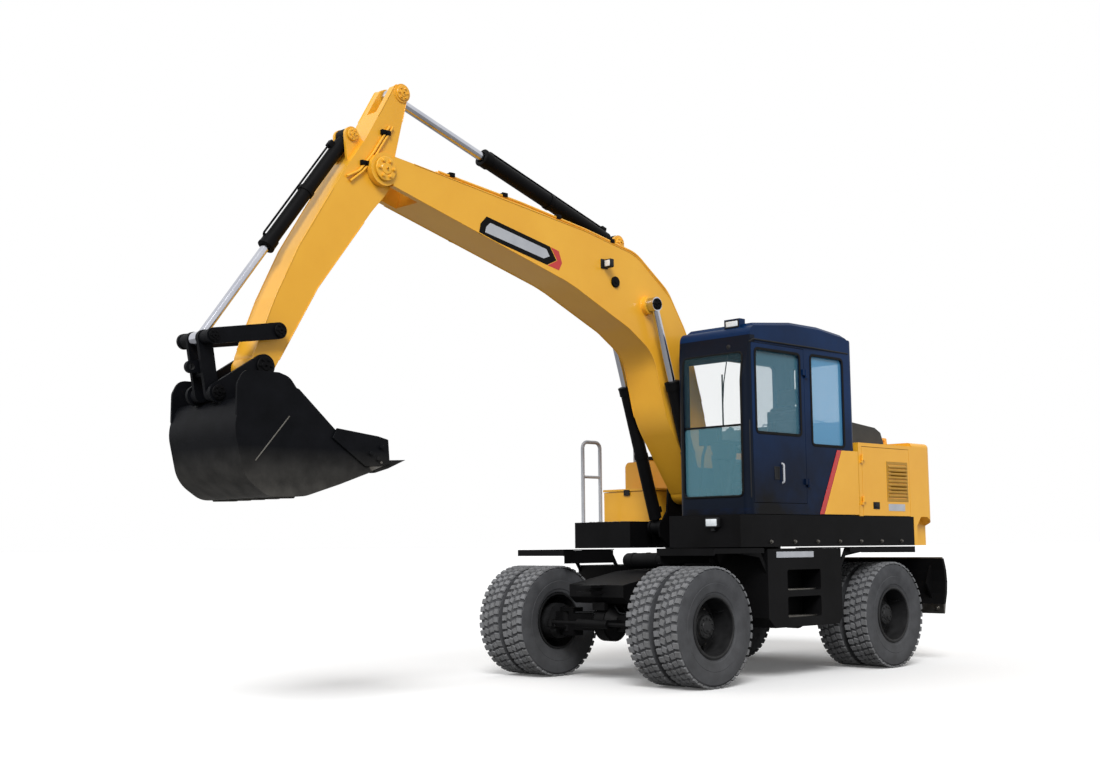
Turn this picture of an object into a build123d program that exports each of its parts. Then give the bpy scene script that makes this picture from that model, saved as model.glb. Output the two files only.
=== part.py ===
from build123d import *
import os
from math import cos, hypot, radians, sin

os.makedirs("parts", exist_ok=True)

# Wheeled excavator with twin tyres, millimetres. X runs forward, Y to the left and Z up.
# Modelling is about the swing centre at X = 0 and Y = 0, with the axles at AXLE_Z. The tyres set the ground.

# Driving dimensions: running gear
FRONT_AXLE_X = 1650
REAR_AXLE_X = -1150
AXLE_Z = 520
TYRE_RADIUS = 520
TYRE_HALF_WIDTH = 134
RIM_RADIUS = 262
RIM_WALL = 14
OUTER_TYRE_Y = 1108
INNER_TYRE_Y = 788
KING_PIN_Y = 570
HUB_INNER_Y = 660
HUB_RADIUS = 165
HAND_HOLE_CIRCLE = 207
SPINDLE_RADIUS = 75
KING_PIN_RADIUS = 35
AXLE_HALF_HEIGHT = 75
STEER_ARM = 230
STEER_ROD_RADIUS = 18

# Driving dimensions: chassis and blade
CHASSIS_HALF_WIDTH = 340
CHASSIS_BOTTOM = 700
CHASSIS_TOP = 1000
FENDER_TOP = 1190
TOW_PIN_X = 1955
TOW_PIN_RADIUS = 16
FENDER_OUTER_Y = 1240
FENDER_SHEET = 8
STEP_SPAN = (-300, 850)
STEP_TOP = 1030
BLADE_PIVOT = (-1380, 760)
BLADE_PIN_RADIUS = 30
BLADE_CYLINDER_BASE = (-1560, 930)
BLADE_CYLINDER_EYE = (-2010, 800)
BLADE_CYLINDER_Y = 180
BLADE_HALF_WIDTH = 1245

# Driving dimensions: upper structure
DECK_BOTTOM = 1200
DECK_TOP = 1490
DECK_HALF_WIDTH = 1215
STEP_OUTER_Y = DECK_HALF_WIDTH - 15
DECK_RIGHT_FRONT = 880
TOOLBOX_REAR = 165
TOOLBOX_LENGTH = 385
TOOLBOX_RIGHT = -DECK_HALF_WIDTH + 105
TOOLBOX_LEFT = TOOLBOX_RIGHT + 660
TOOLBOX_TOP = 1770
COVER_TOP = 2210
LIFTING_BORE = 25
TANK_TOP = 2100
RAIL_TOP = 2290
RAIL_FRONT = DECK_RIGHT_FRONT - 60
RAIL_LENGTH = 255
TAIL_RADIUS = 2290
TAIL_DEPTH = 690
TAIL_CORNER = 80
CAB_FRONT = 1110
CAB_REAR = -590
CAB_LEFT = DECK_HALF_WIDTH
CAB_RIGHT = 385
CAB_FLOOR = 1495
CAB_ROOF = 3210
ROOF_CROWN = 90
CAB_WALL = 50
CAB_CORNER = 70
CAB_BROW = 84
CAB_MIDDLE_Y = (CAB_LEFT + CAB_RIGHT) / 2
DOOR_REAR = 240
DOOR_FRONT = 1035
DOOR_BOTTOM = 1600
DOOR_TOP = 3050
GLASS = 8
HINGE_PIN = 7
HINGE_RING = 12
HINGE_OFFSET = 14
CAB_DOOR_HINGE_X = 228
LID_HINGE = (TOOLBOX_REAR - 12, 1786)
LID_SPANS = (TOOLBOX_RIGHT + 110, TOOLBOX_LEFT - 170)
LID_FOOT = (TOOLBOX_REAR - 22, TOOLBOX_REAR - 5, 1740, 1786)
TAIL_FRONT = TAIL_DEPTH - TAIL_RADIUS
BAY_FRONT = CAB_REAR - 40
BAY_DOOR_HINGE_X = BAY_FRONT - 48
HOOD_HINGE = (BAY_FRONT - 84, COVER_TOP + 16)
HOOD_LUG = (BAY_FRONT - 95, BAY_FRONT - 72, COVER_TOP - 5, COVER_TOP + 16)
HOOD_HEIGHT = 250
HOOD_SPANS = (-600, 620)
SKIN = 22

# Driving dimensions: boom, arm and bucket pivots, as (X, Z)
BOOM_FOOT = (420, 1760)
BOOM_TIP = (4420, 4240)
BOOM_HALF_WIDTH = 200
BOOM_CYLINDER_BASE = (640, 1400)
BOOM_CYLINDER_EYE = (1310, 3480)
BOOM_CYLINDER_Y = 300
ARM_CYLINDER_BASE = (1560, 4070)
ARM_CYLINDER_EYE = (4200, 4930)
ARM_HALF_WIDTH = 135
BUCKET_PIN = (5500, 2560)
BUCKET_CYLINDER_BASE = (4660, 4500)
ROCKER_PIN = (5400, 2830)
ROCKER_END = (5950, 2740)
LINK_PIN = (5880, 2340)
BUCKET_HALF_WIDTH = 460
BUCKET_WALL = 24
SIDE_PLATE = 20
PIN_RADIUS = 40
BOOM_BARREL = 62
BOOM_ROD = 35
ARM_ROD = 40
BUCKET_ROD = 33
BLADE_ROD = 25

# Clearances
PIN_CLEARANCE = 0.05
MOVING_CLEARANCE = 5
SIDE_GAP = 10


def outline(points, radius=0):
    """Closed face through points, its corners rounded where a radius is given."""
    if radius:
        return make_face(FilletPolyline(*points, radius=radius, close=True))
    return make_face(Polyline(*points, close=True))


def side_plane(y_high):
    """Plane for a side view: local x is X, local y is Z, extruding toward -Y."""
    return Plane(origin=(0, y_high, 0), x_dir=(1, 0, 0), z_dir=(0, -1, 0))


def from_side(shape, y_low, y_high, radius=0):
    """Solid with a side view of points or a face, between two widths."""
    face = shape if isinstance(shape, (Sketch, Face)) else outline(shape, radius)
    return extrude(side_plane(y_high) * face, amount=y_high - y_low)


def from_above(points, z_low, z_high, radius=0):
    """Solid with a plan view of points, between two heights."""
    return extrude(Pos(0, 0, z_low) * outline(points, radius), amount=z_high - z_low)


def from_front(points, x_low, x_high, radius=0):
    """Solid with a front view of (Y, Z) points, between two lengths."""
    plane = Plane(origin=(x_low, 0, 0), x_dir=(0, 1, 0), z_dir=(1, 0, 0))
    return extrude(plane * outline(points, radius), amount=x_high - x_low)


def block(x_low, x_high, y_low, y_high, z_low, z_high):
    """Box between corner values."""
    box = Box(x_high - x_low, y_high - y_low, z_high - z_low)
    return Pos((x_low + x_high) / 2, (y_low + y_high) / 2, (z_low + z_high) / 2) * box


def disc(centre, radius, y_low, y_high):
    """Cylinder along Y about a side-view point."""
    plane = Plane(origin=(centre[0], y_low, centre[1]), z_dir=(0, 1, 0))
    return extrude(plane * Circle(radius), amount=y_high - y_low)


def post(x, y, radius, z_low, z_high):
    """Cylinder along Z."""
    return extrude(Pos(x, y, z_low) * Circle(radius), amount=z_high - z_low)


def along(start, end, y, radius, first=0, last=None):
    """Cylinder on the line between two side-view points, from one distance to another."""
    length = hypot(end[0] - start[0], end[1] - start[1])
    last = length if last is None else last
    direction = ((end[0] - start[0]) / length, 0, (end[1] - start[1]) / length)
    origin = (start[0] + direction[0] * first, y, start[1] + direction[2] * first)
    return extrude(Plane(origin=origin, z_dir=direction) * Circle(radius), amount=last - first)


def strap(start, end, start_radius, end_radius):
    """Side-view face that wraps two circles."""
    first = Pos(*start) * Circle(start_radius)
    second = Pos(*end) * Circle(end_radius)
    return make_hull(first.edges() + second.edges())


def turned(profile, x, z):
    """Ring or disc turned about a wheel axis from (Y, radius) points."""
    plane = Plane(origin=(x, 0, z), x_dir=(0, 0, 1), z_dir=(-1, 0, 0))
    face = make_face(Polyline(*[(radius, y) for y, radius in profile], close=True))
    return revolve(plane * face, axis=Axis((x, 0, z), (0, 1, 0)))


def other_side(solid):
    """The same solid on the right of the machine."""
    return mirror(solid, about=Plane.XZ)


def both_sides(solid):
    """A solid and its twin on the right."""
    return [solid, other_side(solid)]


def bent_bar(points, radius, bend):
    """Round bar bent along points."""
    path = FilletPolyline(*points, radius=bend)
    return sweep(Plane(origin=path @ 0, z_dir=path % 0) * Circle(radius), path=path)


# ---------------------------------------------------------------- running gear


def tyre(x, centre_y):
    """Tyre ring with rounded shoulders and bulged walls."""
    wide = TYRE_HALF_WIDTH
    profile = [
        (-0.75 * wide, RIM_RADIUS),
        (-0.97 * wide, RIM_RADIUS + 50),
        (-wide, RIM_RADIUS + 130),
        (-0.97 * wide, TYRE_RADIUS - 45),
        (-0.82 * wide, TYRE_RADIUS - 12),
        (-0.6 * wide, TYRE_RADIUS),
        (0.6 * wide, TYRE_RADIUS),
        (0.82 * wide, TYRE_RADIUS - 12),
        (0.97 * wide, TYRE_RADIUS - 45),
        (wide, RIM_RADIUS + 130),
        (0.97 * wide, RIM_RADIUS + 50),
        (0.75 * wide, RIM_RADIUS),
    ]
    return turned([(centre_y + y, radius) for y, radius in profile], x, AXLE_Z)


def tyre_pair(x):
    """Two tyres of a left twin wheel."""
    return [tyre(x, OUTER_TYRE_Y), tyre(x, INNER_TYRE_Y)]


def wheel(x):
    """Twin rim on one hub drum with its planet cover, bored for the axle spindle."""
    inner_edge = INNER_TYRE_Y - 110
    outer_edge = OUTER_TYRE_Y + 110
    web = OUTER_TYRE_Y - 105
    well = RIM_RADIUS - RIM_WALL
    profile = [
        (HUB_INNER_Y, SPINDLE_RADIUS + PIN_CLEARANCE),
        (HUB_INNER_Y, HUB_RADIUS),
        (web - 12, HUB_RADIUS),
        (web - 12, well),
        (inner_edge, well),
        (inner_edge, RIM_RADIUS),
        (outer_edge, RIM_RADIUS),
        (outer_edge, well),
        (web + 12, well),
        (web + 12, HUB_RADIUS),
        (web + 70, HUB_RADIUS - 12),
        (web + 110, 105),
        (web + 125, 100),
        (web + 125, 0),
        (HUB_INNER_Y + 100, 0),
        (HUB_INNER_Y + 100, SPINDLE_RADIUS + PIN_CLEARANCE),
    ]
    solid = turned(profile, x, AXLE_Z)
    for index in range(8):
        angle = radians(45 * index + 22.5)
        centre = (x + HAND_HOLE_CIRCLE * cos(angle), AXLE_Z + HAND_HOLE_CIRCLE * sin(angle))
        solid -= disc(centre, 24, web - 20, web + 20)
    return solid


def spindle(x, start_y):
    """Spindle that carries a hub."""
    return disc((x, AXLE_Z), SPINDLE_RADIUS, start_y, HUB_INNER_Y + 95)


def knuckle():
    """Left steered knuckle: king pin, spindle and steering arm."""
    reach = HUB_INNER_Y - MOVING_CLEARANCE
    half = AXLE_HALF_HEIGHT + 15
    x = FRONT_AXLE_X
    body = post(x, KING_PIN_Y, 62, AXLE_Z - half, AXLE_Z + half)
    body += block(x - 62, x + 62, KING_PIN_Y, reach, AXLE_Z - half, AXLE_Z + half)
    pin_reach = half + 50
    body += post(x, KING_PIN_Y, KING_PIN_RADIUS, AXLE_Z - pin_reach, AXLE_Z + pin_reach)
    body += spindle(x, reach - 10)
    arm_z = AXLE_Z - 65
    arm = from_above(
        [
            (x, KING_PIN_Y - 40),
            (x, KING_PIN_Y + 40),
            (x + STEER_ARM + 30, KING_PIN_Y + 15),
            (x + STEER_ARM + 30, KING_PIN_Y - 45),
        ],
        arm_z,
        arm_z + 20,
    )
    return body + arm


def front_axle():
    """Beam, differential, king-pin yokes, cradle boss and steering cylinder barrel."""
    x = FRONT_AXLE_X
    z = AXLE_Z
    beam = block(x - 65, x + 65, -455, 455, z - AXLE_HALF_HEIGHT, z + AXLE_HALF_HEIGHT)
    beam += turned([(-150, 0), (-150, 90), (-60, 155), (60, 155), (150, 90), (150, 0)], x, z)
    inner = AXLE_HALF_HEIGHT + 20
    outer = inner + 35
    yoke = block(x - 65, x + 65, 420, 480, z - outer, z + outer)
    for low, high in ((z + inner, z + outer), (z - outer, z - inner)):
        plate = block(x - 65, x + 65, 470, KING_PIN_Y, low, high)
        plate += post(x, KING_PIN_Y, 65, low, high)
        yoke += plate - post(x, KING_PIN_Y, KING_PIN_RADIUS + PIN_CLEARANCE, low, high)
    beam += yoke + other_side(yoke)
    boss_plane = Plane(origin=(x - 110, 0, z + 170), z_dir=(1, 0, 0))
    beam += extrude(boss_plane * Circle(45), amount=220)
    rod_x = x + STEER_ARM
    barrel = disc((rod_x, z), 40, -190, 190)
    barrel += block(x, rod_x, -190, -150, z - 35, z + 35)
    barrel += block(x, rod_x, 150, 190, z - 35, z + 35)
    barrel -= disc((rod_x, z), STEER_ROD_RADIUS + PIN_CLEARANCE, -200, 200)
    return beam + barrel


def steering_rod():
    """Rod that runs through the steering barrel, with an eye over each arm."""
    rod_x = FRONT_AXLE_X + STEER_ARM
    z = AXLE_Z
    eye_y = KING_PIN_Y - 15
    rod = disc((rod_x, z), STEER_ROD_RADIUS, -eye_y, eye_y)
    eye = post(rod_x, eye_y, 30, z - 38, z + 25)
    return rod + eye + other_side(eye)


def rear_axle():
    """Rigid rear axle with its differential, spindles and seats under the chassis."""
    x = REAR_AXLE_X
    z = AXLE_Z
    reach = HUB_INNER_Y - MOVING_CLEARANCE
    axle = block(x - 70, x + 70, -reach + 60, reach - 60, z - AXLE_HALF_HEIGHT, z + AXLE_HALF_HEIGHT)
    axle += turned([(-170, 0), (-170, 90), (-70, 165), (70, 165), (170, 90), (170, 0)], x, z)
    side = disc((x, z), 120, reach - 70, reach) + spindle(x, reach - 10)
    side += block(x - 90, x + 90, 220, 320, z, CHASSIS_BOTTOM)
    return axle + side + other_side(side)


def driveline():
    """Gearbox under the turntable and a shaft to each differential."""
    z = AXLE_Z
    box = block(-150, 230, -170, 170, 430, CHASSIS_BOTTOM)
    shafts = along((-985, z), (1495, z), 0, 38, 0, 2480)
    for x in (-900, -240, 320, 1400):
        shafts += along((x, z), (x + 60, z), 0, 60)
    return box + shafts


def chassis_frame():
    """Welded box frame with turntable plinth, axle cradle, outriggers and blade lugs."""
    half = CHASSIS_HALF_WIDTH
    side = [
        (-1500, CHASSIS_BOTTOM + 60),
        (-1400, CHASSIS_BOTTOM),
        (1760, CHASSIS_BOTTOM),
        (1840, CHASSIS_BOTTOM + 60),
        (1840, CHASSIS_BOTTOM + 170),
        (1200, CHASSIS_TOP - 20),
        (700, CHASSIS_TOP),
        (-1500, CHASSIS_TOP),
    ]
    frame = from_side(side, -half, half)
    frame += post(0, 0, 560, CHASSIS_TOP - 60, 1095)
    for x_low, x_high in ((-250, -130), (620, 740)):
        frame += block(x_low, x_high, -620, 620, CHASSIS_TOP - 110, CHASSIS_TOP - 10)
    pin_z = AXLE_Z + 170
    for x_low in (FRONT_AXLE_X - 160, FRONT_AXLE_X + 115):
        lug = block(x_low, x_low + 45, -75, 75, pin_z - 50, CHASSIS_BOTTOM + 10)
        frame += lug
    frame -= block(FRONT_AXLE_X - 112, FRONT_AXLE_X + 112, -60, 60, CHASSIS_BOTTOM - 5, pin_z + 55)
    frame += disc(BLADE_PIVOT, BLADE_PIN_RADIUS, -half - 105, half + 105)
    base = BLADE_CYLINDER_BASE
    for y_mid in (-BLADE_CYLINDER_Y, BLADE_CYLINDER_Y):
        lugs = strap(base, (-1480, 930), 50, 60)
        for y_low in (y_mid - 60, y_mid + 40):
            frame += from_side(lugs, y_low, y_low + 20)
        frame += disc(base, BLADE_PIN_RADIUS, y_mid - 65, y_mid + 65)
    towing = block(1840, TOW_PIN_X + 45, -90, 90, 790, 815) + block(1840, TOW_PIN_X + 45, -90, 90, 845, 870)
    towing -= post(TOW_PIN_X, 0, TOW_PIN_RADIUS, 780, 880)
    return frame + towing


def turntable_lower():
    """Fixed race of the slewing ring."""
    return post(0, 0, 500, 1095, 1165) - post(0, 0, 400, 1090, 1170)


def fender(x_low, x_high, box_face):
    """Left fender plate with folded lips, on webs from a face of the step box."""
    y_low, y_high = 600, FENDER_OUTER_Y
    under = FENDER_TOP - FENDER_SHEET
    plate = block(x_low, x_high, y_low, y_high, under, FENDER_TOP)
    plate += block(x_low, x_high, y_high - FENDER_SHEET, y_high, FENDER_TOP - 45, FENDER_TOP)
    end = x_high - FENDER_SHEET if x_high > box_face else x_low
    plate += block(end, end + FENDER_SHEET, y_low, y_high, FENDER_TOP - 60, FENDER_TOP)
    toward = 1 if x_high > box_face else -1
    start = box_face + toward * 100
    tip = box_face + toward * 500
    web = [
        (box_face, 960),
        (box_face, STEP_TOP - 5),
        (start, under),
        (tip, under),
        (tip, under - 25),
        (start, under - 75),
    ]
    for y in (640, STEP_OUTER_Y - 30):
        plate += from_side(web, y, y + 14)
    return plate


def fenders():
    """Front and rear fender plates on both sides."""
    front = fender(STEP_SPAN[1] + 100, FRONT_AXLE_X + 6, STEP_SPAN[1])
    rear = fender(REAR_AXLE_X - 410, STEP_SPAN[0] - 100, STEP_SPAN[0])
    return both_sides(front) + both_sides(rear)


def step_box(top):
    """Left box between the axles with two recessed steps."""
    x_low, x_high = STEP_SPAN
    bottom = 470
    side = [
        (x_low, bottom + 70),
        (x_low + 60, bottom),
        (x_high - 100, bottom),
        (x_high, bottom + 90),
        (x_high, top),
        (x_low, top),
    ]
    box = from_side(side, 620, STEP_OUTER_Y)
    for z_low in (555, 800):
        recess = [(40, z_low), (560, z_low), (560, z_low + 190), (40, z_low + 190)]
        box -= from_side(recess, STEP_OUTER_Y - 220, STEP_OUTER_Y + 10, 25)
    return box


def blade():
    """Dozer blade: rolled plate, top edge, arms and cylinder lugs."""
    curve = [
        (-2065, 590),
        (-2100, 700),
        (-2112, 820),
        (-2100, 940),
        (-2065, 1060),
        (-2100, 1060),
        (-2140, 940),
        (-2152, 820),
        (-2140, 700),
        (-2105, 590),
    ]
    solid = from_side(curve, -BLADE_HALF_WIDTH, BLADE_HALF_WIDTH)
    arm = strap(BLADE_PIVOT, (-2090, 760), 70, 110)
    arm_solid = from_side(arm, CHASSIS_HALF_WIDTH + SIDE_GAP, CHASSIS_HALF_WIDTH + 85)
    arm_solid -= disc(BLADE_PIVOT, BLADE_PIN_RADIUS + PIN_CLEARANCE, 300, 500)
    arm_solid -= from_side([(-2110, 600), (-2115, 820), (-2110, 900), (-2300, 900), (-2300, 600)], 300, 500)
    solid += arm_solid + other_side(arm_solid)
    eye = BLADE_CYLINDER_EYE
    for y_mid in (-BLADE_CYLINDER_Y, BLADE_CYLINDER_Y):
        lug = strap(eye, (-2100, 800), 45, 60)
        for y_low in (y_mid - 60, y_mid + 40):
            solid += from_side(lug, y_low, y_low + 20)
    for y in (-1100, -760, 740, 1080):
        solid += from_side([(-2100, 620), (-1990, 800), (-2100, 1020)], y, y + 20)
    return solid


def blade_edge():
    """Bolted cutting edge under the blade."""
    edge = [(-2065, 590), (-2105, 590), (-2085, 492), (-2065, 492)]
    return from_side(edge, -BLADE_HALF_WIDTH, BLADE_HALF_WIDTH)


def barrel(base, eye, y, radius, length, half_width, pin_radius):
    """Cylinder barrel with a bored base eye and a gland collar."""
    solid = along(base, eye, y, half_width - 3, 0, radius + 60)
    solid += along(base, eye, y, radius, radius + 30, length)
    solid += along(base, eye, y, radius + 9, length - 70, length)
    solid += disc(base, radius + 8, y - half_width, y + half_width)
    return solid - disc(base, pin_radius + PIN_CLEARANCE, y - 200, y + 200)


def rod(base, eye, y, radius, hidden, eye_radius, half_width):
    """Plated rod from inside its barrel to a solid eye."""
    length = hypot(eye[0] - base[0], eye[1] - base[1])
    solid = along(base, eye, y, radius, hidden, length)
    return solid + disc(eye, eye_radius, y - half_width, y + half_width)


def bored_barrel(base, eye, y, radius, length, half_width, pin_radius, rod_radius):
    """Barrel open along its rod."""
    solid = barrel(base, eye, y, radius, length, half_width, pin_radius)
    return solid - along(base, eye, y, rod_radius + PIN_CLEARANCE, radius + 45, length + 5)


# ------------------------------------------------------------- upper structure


def turntable_upper():
    """Turning race of the slewing ring, its lip running on the fixed race."""
    race = post(0, 0, 575, 1130, DECK_BOTTOM) - post(0, 0, 500 + MOVING_CLEARANCE, 1120, 1210)
    return race + post(0, 0, 520, 1135, 1160) - post(0, 0, 500 + PIN_CLEARANCE, 1120, 1165)


def upright_hinge(x, heights, toward):
    """Fixed pins and door knuckles just outside the left wall; toward is 1 where the door lies ahead."""
    wall = DECK_HALF_WIDTH
    y = wall + HINGE_OFFSET
    fixed, leaf = [], []
    for z in heights:
        near, far = sorted((x, x - toward * 30))
        fixed.append(post(x, y, HINGE_PIN, z, z + 80) + block(near, far, wall - 6, y + 8, z, z + 22))
        near, far = sorted((x, x + toward * 45))
        root, end = sorted((x + toward * 14, x + toward * 45))
        knuckle_leaf = post(x, y, HINGE_RING, z + 24, z + 78) + block(near, far, wall, y + 4, z + 24, z + 78)
        knuckle_leaf += block(root, end, wall - 6, wall, z + 24, z + 78)
        leaf.append(knuckle_leaf - post(x, y, HINGE_PIN + PIN_CLEARANCE, z, z + 100))
    return fixed, leaf


def lid_hinge(pivot, spans, foot, reach):
    """Fixed lugs with pins and lid knuckles about a line along Y at a side-view point."""
    fixed, leaf = [], []
    for y in spans:
        lug = block(*foot[:2], y, y + 22, *foot[2:]) + disc(pivot, HINGE_RING, y, y + 22)
        fixed.append(lug + disc(pivot, HINGE_PIN, y, y + 80))
        near, far = sorted((pivot[0], pivot[0] + reach))
        tab = block(near, far, y + 24, y + 78, pivot[1] - 7, pivot[1] + 7)
        tab += disc(pivot, HINGE_RING, y + 24, y + 78)
        leaf.append(tab - disc(pivot, HINGE_PIN + PIN_CLEARANCE, y, y + 100))
    return fixed, leaf


def upper_frame():
    """Turntable deck with its skirts, boom foot towers and cylinder lugs."""
    wide = DECK_HALF_WIDTH
    boom_room = 385
    end = TAIL_FRONT + MOVING_CLEARANCE
    left = [(1250, wide), (1250, boom_room), (560, boom_room), (560, -225), (end, -225), (end, wide)]
    deck = from_above(left, DECK_BOTTOM, DECK_TOP)
    front = DECK_RIGHT_FRONT
    right = [(front, -450), (front, -wide), (end, -wide), (end, -225), (560, -225), (560, -450)]
    deck += from_above(right, DECK_BOTTOM, DECK_TOP - 30)
    tower = [
        (-150, DECK_BOTTOM),
        (560, DECK_BOTTOM),
        (700, 1310),
        (715, 1400),
        (590, 1560),
        (560, 1830),
        (470, 1915),
        (360, 1915),
        (-150, 1560),
    ]
    inner = BOOM_HALF_WIDTH + SIDE_GAP
    eye_room = 45
    plate = from_side(tower, inner, BOOM_CYLINDER_Y - BOOM_BARREL - MOVING_CLEARANCE - 1)
    plate += disc(BOOM_CYLINDER_BASE, 75, inner, BOOM_CYLINDER_Y - eye_room)
    lug = strap(BOOM_CYLINDER_BASE, (500, 1300), 75, 95)
    plate += from_side(lug, BOOM_CYLINDER_Y + eye_room, BOOM_CYLINDER_Y + eye_room + 25)
    plate += block(400, 540, inner, BOOM_CYLINDER_Y + eye_room + 25, DECK_BOTTOM, 1300)
    plate += disc(BOOM_CYLINDER_BASE, PIN_RADIUS, inner, BOOM_CYLINDER_Y + eye_room + 30)
    plate += disc(BOOM_FOOT, 65, inner, BOOM_HALF_WIDTH + 60)
    deck += plate + other_side(plate)
    return deck + disc(BOOM_FOOT, PIN_RADIUS, -inner - 5, inner + 5)


def counterweight():
    """Cast tail weight, rounded about the swing centre, with a lifting bore on each side."""
    wide = DECK_HALF_WIDTH
    front = TAIL_FRONT
    rear = -TAIL_RADIUS - 80
    top = COVER_TOP + 40
    rounded = Pos(0, 0, DECK_BOTTOM) * Circle(TAIL_RADIUS)
    weight = extrude(rounded, amount=top - DECK_BOTTOM)
    weight &= block(rear, front, -wide, wide, DECK_BOTTOM, top)
    side_cut = [
        (rear, DECK_BOTTOM - 10),
        (front - 60, DECK_BOTTOM - 10),
        (front - 60, DECK_TOP - 90),
        (front - 140, DECK_TOP),
        (front - 260, DECK_TOP),
    ]
    for y_low in (-wide - 1, wide - 119):
        weight -= from_side(side_cut, y_low, y_low + 120)
    weight = fillet(weight.edges().filter_by(Axis.Z).group_by(Axis.X)[1], TAIL_CORNER)
    upper_edges = weight.faces().sort_by(Axis.Z)[-1].edges()
    weight = fillet(upper_edges.filter_by(lambda edge: edge.center().X < front - 20), 45)
    low, high = top - 10, top + 90
    ear = [(front - 340, low), (front - 180, low), (front - 200, high), (front - 320, high)]
    for y in (-700, 700):
        eye = from_side(ear, y - 20, y + 20, 20)
        weight += eye - disc((front - 260, top + 42), LIFTING_BORE, y - 30, y + 30)
    return weight


def engine_bay():
    """Bay walls behind the cab: firewall, posts and top rails round the door openings."""
    front, rear = BAY_FRONT, TAIL_FRONT
    wide = DECK_HALF_WIDTH
    bay = block(rear, front, -wide, wide, DECK_TOP, COVER_TOP)
    bay -= block(rear - 1, front - SKIN, -wide + SKIN, wide - SKIN, DECK_TOP - 1, COVER_TOP - SKIN)
    bay -= block(rear + 55, front - 55, -wide - 1, wide + 1, DECK_TOP - 1, COVER_TOP - 35)
    bay -= block(rear + 140, front - 130, -wide + 445, wide - 345, COVER_TOP - 50, COVER_TOP + 1)
    pins, _ = upright_hinge(BAY_DOOR_HINGE_X, (1600, 2010), -1)
    for pin in pins:
        bay += pin + other_side(pin)
    lugs, _ = lid_hinge(HOOD_HINGE, HOOD_SPANS, HOOD_LUG, -35)
    for lug in lugs:
        bay += lug
    return bay


def engine():
    """Engine and cooling pack as one mass on its feet."""
    rear, front = TAIL_FRONT + 160, BAY_FRONT - 220
    mass = block(rear, front, -560, 420, DECK_TOP + 60, 1990)
    for x in (rear + 60, front - 100):
        for y in (-480, 330):
            mass += post(x, y, 45, DECK_TOP, DECK_TOP + 80)
    return mass


def hood():
    """Raised engine lid with sloped edges, its top falling away to the rear."""
    rear, front = TAIL_FRONT + 35, BAY_FRONT - 100
    right, left = -DECK_HALF_WIDTH + 415, DECK_HALF_WIDTH - 265
    base = Pos(0, 0, COVER_TOP) * outline([(rear, right), (front, right), (front, left), (rear, left)], 60)
    top = COVER_TOP + HOOD_HEIGHT
    side = [
        (rear - 10, COVER_TOP - 10),
        (front + 10, COVER_TOP - 10),
        (front + 10, COVER_TOP + 25),
        (front - 220, top),
        (rear + 140, top - 45),
        (rear - 10, top - 130),
    ]
    lid = extrude(base, amount=HOOD_HEIGHT, taper=14)
    lid &= from_side(side, right - 10, left + 10)
    lid -= Pos(0, 0, -SKIN) * lid
    lid += extrude(base, amount=12)
    _, tabs = lid_hinge(HOOD_HINGE, HOOD_SPANS, HOOD_LUG, -35)
    for tab in tabs:
        lid += tab
    return lid


def bay_door():
    """Left engine door with its louvre slots."""
    rear, front = TAIL_FRONT + 60, BAY_FRONT - 60
    door = block(rear, front, DECK_HALF_WIDTH - SKIN, DECK_HALF_WIDTH, DECK_TOP + 5, COVER_TOP - 40)
    for row in range(7):
        z = 1680 + row * 50
        slot = block(rear + 60, rear + 340, DECK_HALF_WIDTH - 50, DECK_HALF_WIDTH + 20, z, z + 22)
        door -= slot
    _, leaves = upright_hinge(BAY_DOOR_HINGE_X, (1600, 2010), -1)
    for leaf in leaves:
        door += leaf
    return door


def fuel_tank():
    """Fuel tank ahead of the right engine door with a filler neck."""
    tank = block(BAY_FRONT, TOOLBOX_REAR - 35, -DECK_HALF_WIDTH + 20, -330, DECK_TOP - 30, TANK_TOP)
    tank = fillet(tank.edges().filter_by(Axis.X).group_by(Axis.Z)[-1], 60)
    return tank + post(-60, -1000, 55, TANK_TOP, TANK_TOP + 35)


def centre_cover():
    """Valve cover between the cab and the tank."""
    front = -170
    side = [(BAY_FRONT, DECK_TOP), (front, DECK_TOP), (front, 1800), (front - 90, 1900), (BAY_FRONT, 1990)]
    return from_side(side, -205, 205)


def toolbox():
    """Open toolbox ahead of the tank."""
    rear, front = TOOLBOX_REAR, TOOLBOX_REAR + TOOLBOX_LENGTH
    right, left = TOOLBOX_RIGHT, TOOLBOX_LEFT
    box = block(rear, front, right, left, DECK_TOP - 30, TOOLBOX_TOP)
    box -= block(rear + 20, front - 20, right + 20, left - 20, DECK_TOP, TOOLBOX_TOP + 10)
    lugs, _ = lid_hinge(LID_HINGE, LID_SPANS, LID_FOOT, 30)
    for lug in lugs:
        low = lug.bounding_box().min.Y
        box += lug + block(LID_FOOT[0], rear + 1, low, low + 22, 1740, 1766)
    return box


def toolbox_lid():
    """Lid of the toolbox with a folded rim."""
    rear, front = TOOLBOX_REAR + 3, TOOLBOX_REAR + TOOLBOX_LENGTH + 12
    low = TOOLBOX_TOP + MOVING_CLEARANCE
    lid = block(rear, front, TOOLBOX_RIGHT - 12, TOOLBOX_LEFT + 12, low, low + SKIN)
    lid = fillet(lid.edges().filter_by(Axis.Z), 15)
    _, tabs = lid_hinge(LID_HINGE, LID_SPANS, LID_FOOT, 30)
    for tab in tabs:
        lid += tab
    return lid


def handrail():
    """Bent handrail beside the front right corner, with a middle bar."""
    y = -DECK_HALF_WIDTH + 65
    foot = DECK_TOP - 30
    rear, front = RAIL_FRONT - RAIL_LENGTH, RAIL_FRONT
    rail = bent_bar([(rear, y, foot), (rear, y, RAIL_TOP), (front, y, RAIL_TOP), (front, y, foot)], 19, 65)
    rail += extrude(Plane(origin=(rear, y, 1930), z_dir=(1, 0, 0)) * Circle(15), amount=front - rear)
    return rail


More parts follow.
